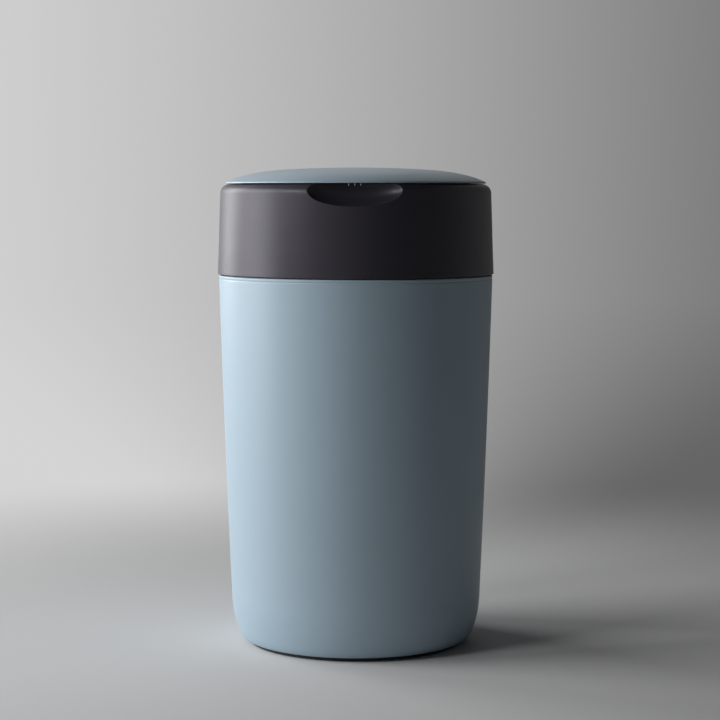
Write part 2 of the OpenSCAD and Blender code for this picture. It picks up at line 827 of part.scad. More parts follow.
module retainer_screws() {
    head_z = retainer_z + fix_gap;
    color([0.62, 0.63, 0.65])
        round_at(even_angles(retainer_screws_n), retainer_screw_pcr) {
            post(screw_r, head_z + screw_head_h, floor_z1 - fix_gap);
            post(screw_head_r, head_z, head_z + screw_head_h);
        }
}

module pawl_pins() {
    cap_h = 1.2;
    cap_r = pawl_pin_r + cap_h;
    spring_room = 3.6;
    pin_top = pawl_z + pawl_t + spring_room;
    color([0.72, 0.73, 0.75])
        for (a = pawl_angles)
            rotate([0, 0, a])
                translate([pawl_pivot[0], pawl_pivot[1], 0]) {
                    post(pawl_pin_r, flange_z1 + plate_t, pin_top);
                    post(cap_r, pin_top, pin_top + cap_h);
                }
}

// Coil spring along X: one closed tube swept along a helix
module coil_x(x0, x1, coil_r, wire_r, turns) {
    sides = 6;
    per_turn = 12;
    n = turns * per_turn;
    run = x1 - x0 - 2 * wire_r;
    pts = [for (i = [0 : n], k = [0 : sides - 1])
        let (a = 360 * i / per_turn, b = 360 * k / sides)
        [x0 + wire_r + run * i / n + wire_r * sin(b),
         (coil_r - wire_r + wire_r * cos(b)) * cos(a),
         (coil_r - wire_r + wire_r * cos(b)) * sin(a)]];
    walls = [for (i = [0 : n - 1], k = [0 : sides - 1])
        let (p = i * sides + k, s = i * sides + (k + 1) % sides)
        each [[p, s, s + sides], [p, s + sides, p + sides]]];
    ends = concat(
        [for (k = [1 : sides - 2]) [0, k + 1, k]],
        [for (k = [1 : sides - 2]) [n * sides, n * sides + k, n * sides + k + 1]]);
    polyhedron(pts, concat(walls, ends));
}

module release_springs() {
    color([0.70, 0.71, 0.73])
        for (m = [0, 1])
            mirror([m, 0, 0])
                translate([0, 0, spring_z])
                    coil_x(spring_x0, spring_x1, spring_r, spring_wire_r, spring_turns);
}

// One release button at +X: face, stem, arm and hooked nose
module release_button() {
    stem_t = 3;
    low_stem_z = button_z0 + 2;
    high_stem_z = button_z1 - 7;
    stem_end = collar_top_r - collar_wall / 2;
    color([0.20, 0.195, 0.21])
        union() {
            intersection() {
                button_window(0);
                difference() {
                    collar_filled();
                    ring(0, collar_top_r - collar_wall, 0, big);
                }
            }
            for (z = [low_stem_z, high_stem_z])
                block([arm_x + arm_t - tiny, -arm_half, z], [stem_end, arm_half, z + stem_t]);
            block([arm_x, -arm_half, nose_z0], [arm_x + arm_t, arm_half, arm_top_z]);
            intersection() {
                block([arm_x, -arm_half, nose_z0], [plug_r, arm_half, nose_z1]);
                post(plug_r, nose_z0, nose_z1);
            }
        }
}

module release_button_right() {
    release_button();
}

module release_button_left() {
    mirror([1, 0, 0])
        release_button();
}

// Saw-tooth ratchet outline: each tooth has a square face and a long slope
module ratchet_outline() {
    polygon([for (i = [0 : teeth - 1])
        each [
            ratchet_r * [cos(i * tooth_pitch), sin(i * tooth_pitch)],
            tooth_root_r * [cos(i * tooth_pitch), sin(i * tooth_pitch)]]]);
}

module drum() {
    color([0.86, 0.87, 0.88])
        difference() {
            union() {
                ring(drum_r, drum_out_r, drum_z, drum_top_z);
                ring(spigot_r + fix_gap, drum_out_r, drum_z, drum_z + plate_t);
                translate([0, 0, ratchet_z])
                    linear_extrude(ratchet_t)
                        difference() {
                            ratchet_outline();
                            circle(r = drum_r + drum_wall / 2);
                        }
                round_at(even_angles(rim_screws_n), rim_screw_pcr)
                    post(rim_boss_r, drum_top_z - rim_boss_h, drum_top_z);
            }
            round_at(even_angles(rim_screws_n), rim_screw_pcr)
                post(screw_r, drum_top_z - rim_screw_l, drum_top_z + cut);
            ring(0, drum_r, drum_z + plate_t, drum_top_z + cut);
        }
}

module twist_rim() {
    rib_foot = 1;
    rib_drop = 2;
    color([0.55, 0.63, 0.69])
        difference() {
            union() {
                ring(twist_in_r, twist_r, drum_top_z, twist_z);
                ring(twist_in_r, grip_r, drum_top_z, twist_z + grip_h);
                round_at(even_angles(grip_ribs, 360 / grip_ribs / 2), grip_r)
                    post(grip_rib_r, drum_top_z + rib_foot, twist_z + grip_h - rib_drop);
            }
            round_at(even_angles(rim_screws_n), rim_screw_pcr) {
                post(screw_r + fix_gap, drum_top_z - cut, twist_z + cut);
                post(rim_head_r + fix_gap, twist_z - twist_t / 2, twist_z + cut);
            }
        }
}

module rim_screws() {
    color([0.62, 0.63, 0.65])
        round_at(even_angles(rim_screws_n), rim_screw_pcr) {
            post(screw_r, drum_top_z - rim_screw_l + screw_tip_gap, twist_z - twist_t / 2);
            post(rim_head_r, twist_z - twist_t / 2, twist_z - fix_gap);
        }
}

module cassette_tray() {
    color([0.90, 0.91, 0.92])
        union() {
            ring(sleeve_in_r, cassette_r, cassette_z, cassette_z + cassette_wall);
            ring(cassette_r - cassette_wall, cassette_r, cassette_z, cassette_top_z);
            ring(sleeve_in_r, sleeve_r, cassette_z, sleeve_top_z);
        }
}

module cassette_cap() {
    lift_h = 5;
    color([0.84, 0.87, 0.90]) {
        ring(sleeve_r + slot_w, cassette_r, cassette_top_z, cassette_top_z + cap_t);
        ring(cassette_r - cassette_wall * 2, cassette_r - cassette_wall,
            cassette_top_z, cassette_top_z + lift_h);
    }
}

module film_pack() {
    step = (film_z1 - film_z0) / pleats;
    inner = [for (i = [0 : pleats])
        each [
            [film_in_r, film_z0 + step * i],
            if (i < pleats) [film_in_r - pleat_depth, film_z0 + step * (i + 0.5)]]];
    outer = [for (i = [pleats : -1 : 0])
        each [
            [film_out_r, film_z0 + step * i],
            if (i > 0) [film_out_r + pleat_depth, film_z0 + step * (i - 0.5)]]];
    color([0.80, 0.86, 0.90])
        rotate_extrude()
            polygon(concat(inner, outer));
}

// Film drawn up through the slot, over the sleeve and down the throat
module film_liner() {
    throat_r = sleeve_in_r - run_gap;
    slot_r = sleeve_r + run_gap;
    top_z = sleeve_top_z + run_gap;
    foot_z = cassette_z + 1;
    tail = 2;
    color([0.80, 0.86, 0.90]) {
        ring(throat_r - film_t, throat_r, foot_z, top_z + film_t);
        ring(throat_r - film_t, slot_r + film_t, top_z, top_z + film_t);
        ring(slot_r, slot_r + film_t, film_z1 - tail, top_z + film_t);
    }
}

module cutter_ring() {
    color([0.55, 0.63, 0.69])
        union() {
            ring(cutter_in_r, cutter_r, cutter_z0, cutter_z1);
            intersection() {
                ring(cutter_post_r, cutter_r, cutter_arm_z, cutter_z1);
                block([0, -cutter_arm_w / 2, 0], [big, cutter_arm_w / 2, big]);
            }
            intersection() {
                block([blade_root - cutter_arm_w / 2, -cutter_arm_w / 2, cutter_arm_z],
                    [cutter_r, cutter_arm_w / 2, cutter_arm_z + cutter_arm_t]);
                post(cutter_r, 0, big);
            }
        }
}

module cutter_blade() {
    color([0.82, 0.83, 0.85])
        translate([0, 0, blade_z])
            linear_extrude(blade_t)
                polygon([
                    [blade_tip, 0],
                    [blade_root, -cutter_arm_w / 3],
                    [blade_end, -cutter_arm_w / 3],
                    [blade_end, cutter_arm_w / 3],
                    [blade_root - cutter_arm_w / 4, cutter_arm_w / 3]]);
}

module cutter_knob() {
    flutes = 8;
    flute_r = 1.8;
    flute_out = 1;
    flute_end = 1.5;
    color([0.20, 0.195, 0.21])
        translate([knob_x, 0, 0])
            difference() {
                post(knob_r, cutter_arm_z - knob_h, cutter_arm_z);
                round_at(even_angles(flutes), knob_r + flute_out)
                    post(flute_r, cutter_arm_z - knob_h - cut, cutter_arm_z - flute_end);
            }
}

// One pawl, hooked over a ratchet tooth at angle 0
module ratchet_pawl() {
    tip_gap = 0.35;
    hook = [
        [tooth_root_r + tip_gap * 2, tip_gap],
        [tooth_root_r + tooth_depth * 0.57, tooth_depth * 1.2],
        [ratchet_r + pawl_out / 3, tooth_depth * 2],
        [pawl_pivot[0] + pawl_eye_r * 0.85, pawl_pivot[1]],
        [pawl_pivot[0] - pawl_eye_r * 0.85, pawl_pivot[1]],
        [ratchet_r + tip_gap * 4, tip_gap]];
    color([0.86, 0.87, 0.88])
        difference() {
            union() {
                translate([0, 0, pawl_z])
                    linear_extrude(pawl_t)
                        polygon(hook);
                translate([pawl_pivot[0], pawl_pivot[1], 0])
                    post(pawl_eye_r, pawl_z, pawl_z + pawl_t);
            }
            translate([pawl_pivot[0], pawl_pivot[1], 0])
                post(pawl_pin_r + pin_fit, pawl_z - 1, pawl_z + pawl_t + 1);
        }
}

module ratchet_pawl_a() {
    rotate([0, 0, pawl_angles[0]])
        ratchet_pawl();
}

module ratchet_pawl_b() {
    rotate([0, 0, pawl_angles[1]])
        ratchet_pawl();
}

// Torsion spring on a pawl's eye: a coil with one leg along the pawl
module pawl_spring() {
    coil_play = 0.2;
    coil_w = 1;
    coil_in = pawl_pin_r + coil_play;
    coil_h = 2.8;
    leg = 0.8;
    leg_l = 14.3;
    leg_angle = 115;
    color([0.70, 0.71, 0.73])
        translate([pawl_pivot[0], pawl_pivot[1], pawl_z + pawl_t]) {
            ring(coil_in, coil_in + coil_w, 0, coil_h);
            rotate([0, 0, leg_angle])
                block([coil_in + leg / 2, -leg / 2, 0], [leg_l, leg / 2, leg]);
        }
}

module pawl_spring_a() {
    rotate([0, 0, pawl_angles[0]])
        pawl_spring();
}

module pawl_spring_b() {
    rotate([0, 0, pawl_angles[1]])
        pawl_spring();
}

// Solid that fills the lid's dome, lowered by a thickness
module dome_filled(inset, floor_z) {
    top = [for (s = dome_steps)
        let (r = s * (lid_r - inset))
        [r, apex_z - inset - dome_drop(r)]];
    rotate_extrude()
        polygon(concat([[0, floor_z]], top, [[lid_r - inset, floor_z]]));
}

module lid_shell() {
    rib_inset = 1;
    rib_y = lid_r - rib_inset;
    arm_inset = 1;
    arm_half_w = lid_barrel_half - arm_inset;
    arm_clear = 1.5;
    seal_seat = 0.4;
    color([0.60, 0.69, 0.75])
        difference() {
            union() {
                difference() {
                    dome_filled(0, lip_z);
                    dome_filled(lid_wall, lip_z - cut);
                }
                intersection() {
                    dome_filled(lid_wall / 2, 0);
                    union() {
                        ring(lid_seal_r - seal_seat, lid_seal_r + lid_seal_w + fix_gap,
                            collar_z1 + run_gap + lid_seal_h, apex_z);
                        round_at(lid_screw_angles, lid_screw_pcr)
                            post(boss_r, pan_z + liner_wall, apex_z);
                        block([-arm_half_w, pocket_y + arm_clear, lid_hinge_z],
                            [arm_half_w, lid_hinge_y, apex_z]);
                    }
                }
                rod_x(lid_barrel_r, lid_barrel_half, lid_hinge_y, lid_hinge_z);
                for (i = [-1 : 1])
                    translate([i * rib_pitch, 0, 0])
                        block([-rib_w / 2, -rib_y, lip_z - rib_h],
                            [rib_w / 2, -rib_y + lid_wall, lip_z + lip_h]);
            }
            rod_x(lid_pin_r + pin_fit, pocket_half, lid_hinge_y, lid_hinge_z);
            round_at(lid_screw_angles, lid_screw_pcr)
                post(screw_r, 0, pan_z + liner_wall + lid_screw_l);
        }
}

module lid_liner() {
    color([0.86, 0.87, 0.88])
        difference() {
            union() {
                ring(0, liner_r, pan_z, pan_z + liner_wall);
                ring(liner_r - liner_wall, liner_r, pan_z, collar_z1 + lid_seal_h);
            }
            round_at(lid_screw_angles, lid_screw_pcr) {
                post(screw_r + fix_gap, 0, big);
                post(screw_head_r + fix_gap, 0, pan_z + liner_sink);
            }
        }
}

module lid_seal() {
    seal_z = collar_z1 + run_gap;
    color([0.14, 0.15, 0.16])
        ring(lid_seal_r, lid_seal_r + lid_seal_w, seal_z, seal_z + lid_seal_h);
}

module lid_screws() {
    head_z = pan_z + liner_sink;
    color([0.62, 0.63, 0.65])
        round_at(lid_screw_angles, lid_screw_pcr) {
            post(screw_r, head_z, head_z + lid_screw_l);
            post(screw_head_r, head_z - lid_head_h, head_z);
        }
}

tub();
foot_ring();
head_hinge_pin();
collar();
head_chassis();
chassis_screws();
head_seal();
glide_ring();
lid_hinge_pin();
fin_disc();
fin_retainer();
retainer_screws();
pawl_pins();
release_springs();
release_button_right();
release_button_left();
drum();
twist_rim();
rim_screws();
cassette_tray();
cassette_cap();
film_pack();
film_liner();
cutter_ring();
cutter_blade();
cutter_knob();
ratchet_pawl_a();
ratchet_pawl_b();
pawl_spring_a();
pawl_spring_b();
lid_shell();
lid_liner();
lid_seal();
lid_screws();
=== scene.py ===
"""Nappy bin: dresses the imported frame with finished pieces, on a plain studio floor."""
import json
import math
from contextlib import contextmanager

import bmesh
import bpy
import numpy as np
from mathutils import Matrix, Vector


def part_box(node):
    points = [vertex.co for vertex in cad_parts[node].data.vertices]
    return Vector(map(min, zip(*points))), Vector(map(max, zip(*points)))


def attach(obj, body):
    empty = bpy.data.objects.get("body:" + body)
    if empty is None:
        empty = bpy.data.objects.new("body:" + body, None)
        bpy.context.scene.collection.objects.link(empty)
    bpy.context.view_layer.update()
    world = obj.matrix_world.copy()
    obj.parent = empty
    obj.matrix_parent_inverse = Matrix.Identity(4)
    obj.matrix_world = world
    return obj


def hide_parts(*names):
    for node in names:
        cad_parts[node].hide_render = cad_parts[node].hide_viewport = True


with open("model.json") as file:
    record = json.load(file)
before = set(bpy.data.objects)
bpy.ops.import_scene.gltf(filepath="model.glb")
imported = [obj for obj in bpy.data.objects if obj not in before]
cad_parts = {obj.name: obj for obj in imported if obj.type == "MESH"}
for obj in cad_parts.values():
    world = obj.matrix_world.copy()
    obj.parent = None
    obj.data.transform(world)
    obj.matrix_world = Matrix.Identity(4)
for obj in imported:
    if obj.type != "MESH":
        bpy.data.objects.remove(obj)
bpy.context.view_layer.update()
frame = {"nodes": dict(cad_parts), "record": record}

bl_info = {
    "name": "Nappy bin",
    "version": (1, 0, 0),
    "blender": (4, 5, 0),
    "location": "View3D > Sidebar > Nappy bin",
    "description": "Makes a nappy bin with a twisting film cassette, piece by piece",
    "category": "Object",
}

# Lengths in this script are millimetres until a mesh is made
MM = 0.001
TURN = 2 * math.pi


def low(node):
    """Lowest corner of a node of the frame, in millimetres."""
    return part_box(node)[0] / MM


def high(node):
    """Highest corner of a node of the frame, in millimetres."""
    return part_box(node)[1] / MM


# Depth of the well, place of the lid's hinge, height of a button's face, and place of the catch ledges
WELL_DEPTH = 24.1
HINGE_IN, HINGE_DOWN = 10.0, 4.1
FACE_H = 20
LEDGE_UP, LEDGE_H = 3.4, 2.5

# Heights and radii that the frame gives
FOOT_Z = low("tub").z
COLLAR_Z0 = low("collar").z
COLLAR_Z1 = high("collar").z
COLLAR_R = round(high("collar").x, 1)
APEX_Z = high("lid_shell").z
WELL_Z = COLLAR_Z1 - WELL_DEPTH
HINGE_Y, HINGE_Z = COLLAR_R - HINGE_IN, COLLAR_Z1 - HINGE_DOWN
SEAL_TOP = high("lid_seal").z
NOSE_Z, BUTTON_TOP = low("release_button_right").z, high("release_button_right").z
BUTTON_Z = (BUTTON_TOP - FACE_H, BUTTON_TOP)
LEDGE_Z = (NOSE_Z + LEDGE_UP, NOSE_Z + LEDGE_UP + LEDGE_H)

# Sockets of the Mix node when it mixes colours
MIX_A, MIX_B, MIX_COLOUR = 6, 7, 2

# Edges that turn by more than this many degrees stay sharp
SHARP = 35


def paint(name, about, rgb):
    """A colour that a user may change."""
    return bpy.props.FloatVectorProperty(
        name=name, description=about, subtype="COLOR", size=3, min=0, max=1, default=rgb)


class BinSizes(bpy.types.PropertyGroup):
    """Sizes of the bin's outer pieces, in millimetres."""

    seam: bpy.props.FloatProperty(name="Seam", description="Gap between the tub and the collar", default=0.8)
    proud: bpy.props.FloatProperty(
        name="Collar proud", description="How far the collar stands proud of the tub", default=1.0)
    tub_wall: bpy.props.FloatProperty(name="Tub wall", description="Wall of the tub", default=2.6)
    base_r: bpy.props.FloatProperty(
        name="Base radius", description="Radius of the tub where its side meets the bottom edge",
        default=110.8)
    bow: bpy.props.FloatProperty(name="Bow", description="Swell of the tub's side", default=0.5)
    corner_w: bpy.props.FloatProperty(
        name="Corner width", description="Width of the bottom edge", default=13.5)
    corner_h: bpy.props.FloatProperty(
        name="Corner height", description="Height of the bottom edge", default=48.0)
    draft: bpy.props.FloatProperty(name="Draft", description="Draft of the collar", default=2.4)
    shoulder: bpy.props.FloatProperty(
        name="Shoulder", description="Radius of the collar's top edge", default=8.0)
    collar_wall: bpy.props.FloatProperty(name="Collar wall", description="Wall of the collar", default=2.5)
    well_r: bpy.props.FloatProperty(name="Well", description="Radius of the well under the lid", default=97.0)
    lid_r: bpy.props.FloatProperty(name="Lid radius", description="Outer radius of the lid", default=114.4)
    lid_gap: bpy.props.FloatProperty(
        name="Lid seam", description="Seam between the lid and the collar", default=0.5)
    lip_h: bpy.props.FloatProperty(name="Lip", description="Height of the lid's upright edge", default=1.2)
    lid_wall: bpy.props.FloatProperty(name="Lid wall", description="Wall of the lid", default=2.4)
    dome_square: bpy.props.FloatProperty(
        name="Dome", description="Part of the dome's rise that follows the square of the radius", default=5.3)
    scoop_half: bpy.props.FloatProperty(
        name="Scoop width", description="Half the width of the finger scoop", default=41.0)
    scoop_r: bpy.props.FloatProperty(
        name="Scoop radius", description="Radius of the finger scoop's cross-section", default=14.4)


class BinFinish(bpy.types.PropertyGroup):
    """Colours of the bin's plastics and rubbers."""

    tub: paint("Tub", "Light blue-grey of the tub and the lid", (0.366, 0.479, 0.565))
    collar: paint("Collar", "Charcoal of the collar and the buttons", (0.034, 0.031, 0.041))
    rubber: paint("Rubber", "Dark rubber of the foot and the seals", (0.022, 0.023, 0.025))
    fins: paint("Fins", "Soft rubber of the fins", (0.05, 0.055, 0.06))
    chassis: paint("Chassis", "Light grey of the hidden mouldings", (0.60, 0.62, 0.64))
    twist: paint("Twist rim", "Deeper blue of the pieces that a hand turns", (0.27, 0.36, 0.43))
    white: paint("Cassette", "White of the cassette", (0.80, 0.82, 0.84))
    film: paint("Film", "Pale blue of the film", (0.62, 0.72, 0.78))


class BinStage(bpy.types.PropertyGroup):
    """The floor, the lights and the camera."""

    floor: bpy.props.FloatVectorProperty(
        name="Floor", description="Colour of the floor", subtype="COLOR", size=3, default=(0.74, 0.74, 0.74))
    lens: bpy.props.FloatProperty(name="Lens", description="Focal length in millimetres", default=102.5)
    away: bpy.props.FloatProperty(
        name="Distance", description="Distance of the camera", unit="LENGTH", default=1.811)
    height: bpy.props.FloatProperty(
        name="Height", description="Height of the camera", unit="LENGTH", default=0.3947)
    tilt: bpy.props.FloatProperty(
        name="Tilt", description="Downward tilt of the camera", unit="ROTATION", default=math.radians(4.58))
    aside: bpy.props.FloatProperty(
        name="Aside", description="How far the camera stands to the right", unit="LENGTH", default=0.0127)
    yaw: bpy.props.FloatProperty(
        name="Yaw", description="Turn of the camera to the left", unit="ROTATION",
        default=math.radians(0.284))


# Node trees: one wrapper for sockets, one for trees


class Socket:
    """A node's output that grows maths nodes as it is used in an expression."""

    def __init__(self, tree, out):
        self.tree = tree
        self.out = out

    def math(self, operation, *others):
        return self.tree.node(
            "ShaderNodeMath", {"operation": operation}, dict(enumerate((self, *others))))

    def __add__(self, other):
        return self.math("ADD", other)

    def __sub__(self, other):
        return self.math("SUBTRACT", other)

    def __mul__(self, other):
        return self.math("MULTIPLY", other)

    def __truediv__(self, other):
        return self.math("DIVIDE", other)

    def __pow__(self, other):
        return self.math("POWER", other)

    def __neg__(self):
        return self * -1

    def __rsub__(self, other):
        return (-self) + other

    __radd__ = __add__
    __rmul__ = __mul__

    def between(self, start, end):
        """0 below start, 1 above end, and smooth between them."""
        return self.tree.node(
            "ShaderNodeMapRange", {"interpolation_type": "SMOOTHSTEP"},
            {"Value": self, "From Min": start, "From Max": end})


class Tree:
    """A node tree under construction."""

    def __init__(self, nodes):
        self.tree = nodes

    def node(self, kind, settings=None, inputs=None, out=0):
        """Adds a node: its settings first, then the values or links of its sockets."""
        node = self.tree.nodes.new(kind)
        for key, value in (settings or {}).items():
            setattr(node, key, value)
        for key, value in (inputs or {}).items():
            self.feed(node.inputs[key], value)
        return Socket(self, node.outputs[out])

    def feed(self, socket, value):
        if isinstance(value, Socket):
            self.tree.links.new(value.out, socket)
        else:
            socket.default_value = value


class Surface(Tree):
    """One procedural material, built round the Principled shader."""

    def __init__(self, name, colour, roughness, **fixed):
        self.material = bpy.data.materials.new(name)
        self.material.use_nodes = True
        super().__init__(self.material.node_tree)
        self.shader = self.tree.nodes["Principled BSDF"]
        self.colour = tuple(colour)
        self.set("Base Color", (*self.colour, 1))
        self.set("Roughness", roughness)
        for key, value in fixed.items():
            self.set(key.replace("_", " "), value)
        self.place = self.node("ShaderNodeTexCoord", out="Object")

    def set(self, name, value):
        self.feed(self.shader.inputs[name], value)

    def axes(self):
        """X, Y and Z of the point, in millimetres."""
        split = self.node("ShaderNodeSeparateXYZ", inputs={0: self.place}).out.node
        return [Socket(self, out) / MM for out in split.outputs]

    def stretched(self, scale):
        return self.node("ShaderNodeMapping", inputs={"Vector": self.place, "Scale": scale})

    def noise(self, scale, detail, roughness=0.5, vector=None):
        return self.node(
            "ShaderNodeTexNoise", inputs={
                "Vector": vector or self.place, "Scale": scale, "Detail": detail, "Roughness": roughness})

    def tint(self, amount, shade, colour=None):
        """Blends the base colour towards shade times itself, by amount."""
        other = (*(min(1, c * shade) for c in self.colour), 1)
        return self.node("ShaderNodeMix", {"data_type": "RGBA"}, {
            "Factor": amount, MIX_A: colour or (*self.colour, 1), MIX_B: other}, out=MIX_COLOUR)

    def bump(self, height, depth, strength):
        """Normal of a relief that is depth millimetres deep."""
        return self.node(
            "ShaderNodeBump", inputs={"Height": height, "Distance": depth * MM, "Strength": strength})


def near_circles(surface, circles, width):
    """Mask that is 1 on the given (radius, height) circles and fades over width."""
    x, y, z = surface.axes()
    radius = (x * x + y * y).math("SQRT")
    mask = 0
    for r, h in circles:
        away = ((radius - r) ** 2 + (z - h) ** 2).math("SQRT")
        mask = (1 - away.between(0, width)) + mask
    return mask.math("MINIMUM", 1)


def moulded(name, colour, roughness, grain, edges=(), scuff_highlight_gain=1.25, edge_w=1.6, dust=0.0, shine=0.5,
            gloss=(1, 1, 1, 1)):
    """Moulded plastic: fine spark texture, faint clouding, handling marks, and edges lightened partly as worn
    scuffing and partly as a painted highlight.
    """
    m = Surface(name, colour, roughness, Specular_IOR_Level=shine, Specular_Tint=gloss)
    clouds = m.noise(14, 3)
    streaks = m.noise(1, 4, vector=m.stretched((60, 60, 7)))
    grit = m.noise(2600, 2)
    marks = m.noise(55, 5, 0.65).between(0.56, 0.74)
    tone = m.tint(clouds * 0.5 + streaks * 0.3, 0.93)
    if dust:
        settled = m.noise(500, 3).between(0.55, 0.8) * m.noise(20, 2).between(0.4, 0.7)
        tone = m.tint(settled * dust, 1.6, tone)
    # Painted highlight: the given edge circles are lightened, partly worn scuffing and partly a painted
    # highlight where rounded rims catch the light.
    if edges:
        scuff_and_highlight = near_circles(m, edges, edge_w) * m.noise(160, 4).between(0.35, 0.65)
        tone = m.tint(scuff_and_highlight * 0.6, scuff_highlight_gain, tone)
    m.set("Base Color", tone)
    m.set("Roughness", roughness + (clouds - 0.5) * 0.10 + marks * 0.07)
    m.set("Normal", m.bump(grit + m.noise(420, 3) * 0.6, grain, 0.5))
    return m.material


def rubbery(name, colour, roughness=0.72):
    """Matt rubber: powdery bloom and a soft, uneven skin."""
    m = Surface(name, colour, roughness, IOR=1.45)
    bloom = m.noise(90, 4, 0.6).between(0.4, 0.75)
    m.set("Base Color", m.tint(bloom * 0.55, 2.1))
    m.set("Roughness", roughness + bloom * 0.14)
    m.set("Normal", m.bump(m.noise(900, 3) + m.noise(60, 2), 0.05, 0.6))
    return m.material


def metal(name, colour, roughness, along=(900, 60, 60)):
    """Drawn or plated steel: fine lines along one way, and faint stains."""
    m = Surface(name, colour, roughness, Metallic=1.0)
    lines = m.noise(1, 3, vector=m.stretched(along))
    stains = m.noise(120, 4).between(0.5, 0.8)
    m.set("Base Color", m.tint(stains * 0.7, 0.72))
    m.set("Roughness", roughness + lines * 0.16 + stains * 0.1)
    m.set("Normal", m.bump(lines, 0.02, 0.5))
    return m.material


def filmy(name, colour, alpha):
    """Thin blown film: soft gloss, fine wrinkles and slightly cloudy bands."""
    m = Surface(name, colour, 0.26, Alpha=alpha, IOR=1.5)
    wrinkles = m.noise(1, 5, 0.6, vector=m.stretched((240, 240, 50)))
    bands = m.noise(1, 2, vector=m.stretched((20, 20, 160)))
    m.set("Base Color", m.tint(bands * 0.6, 0.86))
    m.set("Roughness", wrinkles * 0.25 + 0.16)
    m.set("Normal", m.bump(wrinkles + m.noise(320, 2) * 0.4, 0.35, 0.7))
    return m.material


MATERIALS = {}


def material(slot):
    return MATERIALS[slot]


def make_materials(finish, sizes):
    """Makes one procedural material for each slot of the record."""
    # Edge circles that the tub, lid and collar lighten: the tub's rim, the lid's lip and the collar's
    # shoulder and foot. The lightening is partly worn scuffing and partly a painted highlight, strongest on
    # the charcoal.
    rim = (COLLAR_R - sizes.proud, COLLAR_Z0 - sizes.seam)
    top = (COLLAR_R - sizes.draft - sizes.shoulder * 0.3, COLLAR_Z1 - sizes.shoulder * 0.3)
    lip = (sizes.lid_r, COLLAR_Z1 + sizes.lid_gap + 0.4)
    dark = dict(roughness=0.38, grain=0.035, scuff_highlight_gain=1.9, shine=0.4, gloss=(0.93, 0.9, 1, 1))
    MATERIALS.update({
        "tub_plastic": moulded("Satin blue-grey plastic", finish.tub, 0.40, 0.025, [rim], dust=0.05),
        "lid_plastic": moulded("Satin blue-grey lid plastic", finish.tub, 0.38, 0.025, [lip], edge_w=0.9),
        "collar_plastic": moulded(
            "Satin charcoal plastic", finish.collar, edges=[top, (COLLAR_R, COLLAR_Z0)], edge_w=2.2, **dark),
        "button_plastic": moulded("Charcoal button plastic", finish.collar, **dark),
        "foot_rubber": rubbery("Grippy foot rubber", finish.rubber),
        "seal_rubber": rubbery("Soft seal rubber", finish.rubber, 0.6),
        "fin_rubber": rubbery("Soft fin rubber", finish.fins, 0.55),
        "chassis_plastic": moulded("Light grey plastic", finish.chassis, 0.48, 0.04),
        "drum_plastic": moulded("Pale grey plastic", [c * 1.12 for c in finish.chassis], 0.42, 0.03),
        "twist_plastic": moulded("Satin blue plastic", finish.twist, 0.40, 0.03),
        "glide_plastic": moulded("Natural slippery plastic", (0.80, 0.80, 0.77), 0.25, 0.01),
        "cassette_plastic": moulded("White plastic", finish.white, 0.36, 0.02),
        "film": filmy("Packed film", finish.film, 1.0),
        "pin_steel": metal("Ground steel", (0.62, 0.63, 0.65), 0.22, (60, 900, 900)),
        "screw_steel": metal("Zinc-plated steel", (0.55, 0.56, 0.58), 0.30),
        "spring_steel": metal("Spring steel wire", (0.60, 0.61, 0.63), 0.26),
        "blade_steel": metal("Ground blade steel", (0.70, 0.71, 0.73), 0.20, (80, 900, 80)),
        "pawl_plastic": moulded("Pale tough plastic", [c * 1.12 for c in finish.chassis], 0.34, 0.02),
    })


# Meshes


def new_piece(name, mesh, slot):
    """Object for a mesh, with the finish of a slot of the record."""
    piece = bpy.data.objects.new(name, mesh)
    bpy.context.scene.collection.objects.link(piece)
    mesh.materials.clear()
    mesh.materials.append(material(slot))
    return piece


def mesh_of(name, points, faces):
    """Mesh from points in millimetres."""
    mesh = bpy.data.meshes.new(name)
    mesh.from_pydata([Vector(p) * MM for p in points], [], faces)
    return mesh


@contextmanager
def editing(mesh):
    """The mesh as an editable one, which is written back at the end."""
    bm = bmesh.new()
    bm.from_mesh(mesh)
    yield bm
    bm.to_mesh(mesh)
    bm.free()


def outward(mesh):
    """Merges doubled points and turns every face outwards."""
    merge = 0.002 * MM
    with editing(mesh) as bm:
        bmesh.ops.remove_doubles(bm, verts=bm.verts, dist=merge)
        bmesh.ops.dissolve_degenerate(bm, edges=bm.edges, dist=merge / 4)
        bmesh.ops.recalc_face_normals(bm, faces=bm.faces)
    return mesh


def smooth(piece, sharp=40):
    """Shades a piece smooth, apart from edges that turn by more than sharp degrees."""
    piece.data.shade_smooth()
    piece.data.set_sharp_from_angle(angle=math.radians(sharp))
    return piece


def soften(piece, width, angle, segments=2):
    """Puts a live bevel on the edges that turn by more than angle degrees."""
    soft = piece.modifiers.new("soft", "BEVEL")
    soft.width, soft.segments = width * MM, segments
    soft.limit_method, soft.angle_limit = "ANGLE", math.radians(angle)
    return piece


def settle(piece):
    """Turns a piece with its modifiers into a plain mesh."""
    graph = bpy.context.evaluated_depsgraph_get()
    graph.update()
    mesh = bpy.data.meshes.new_from_object(piece.evaluated_get(graph))
    piece.modifiers.clear()
    old = piece.data
    piece.data = mesh
    bpy.data.meshes.remove(old)
    return piece


def join(piece, other):
    """Adds the other's mesh to a piece."""
    with editing(piece.data) as bm:
        bm.from_mesh(other.data)
    bpy.data.objects.remove(other)
    return piece


def carve(piece, tool, operation="DIFFERENCE"):
    """Cuts one closed form out of a piece, or fuses it on, and drops the form."""
    change = piece.modifiers.new("carve", "BOOLEAN")
    change.solver = "EXACT"
    change.operation = operation
    change.object = tool
    settle(piece)
    bpy.data.objects.remove(tool)
    return piece


def fuse(piece, *tools):
    for tool in tools:
        carve(piece, tool, "UNION")
    return piece


def place(piece, body, *nodes):
    """Makes a piece ride on a body and stand for nodes of the frame."""
    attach(piece, body)
    if nodes:
        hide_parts(*nodes)
    return piece


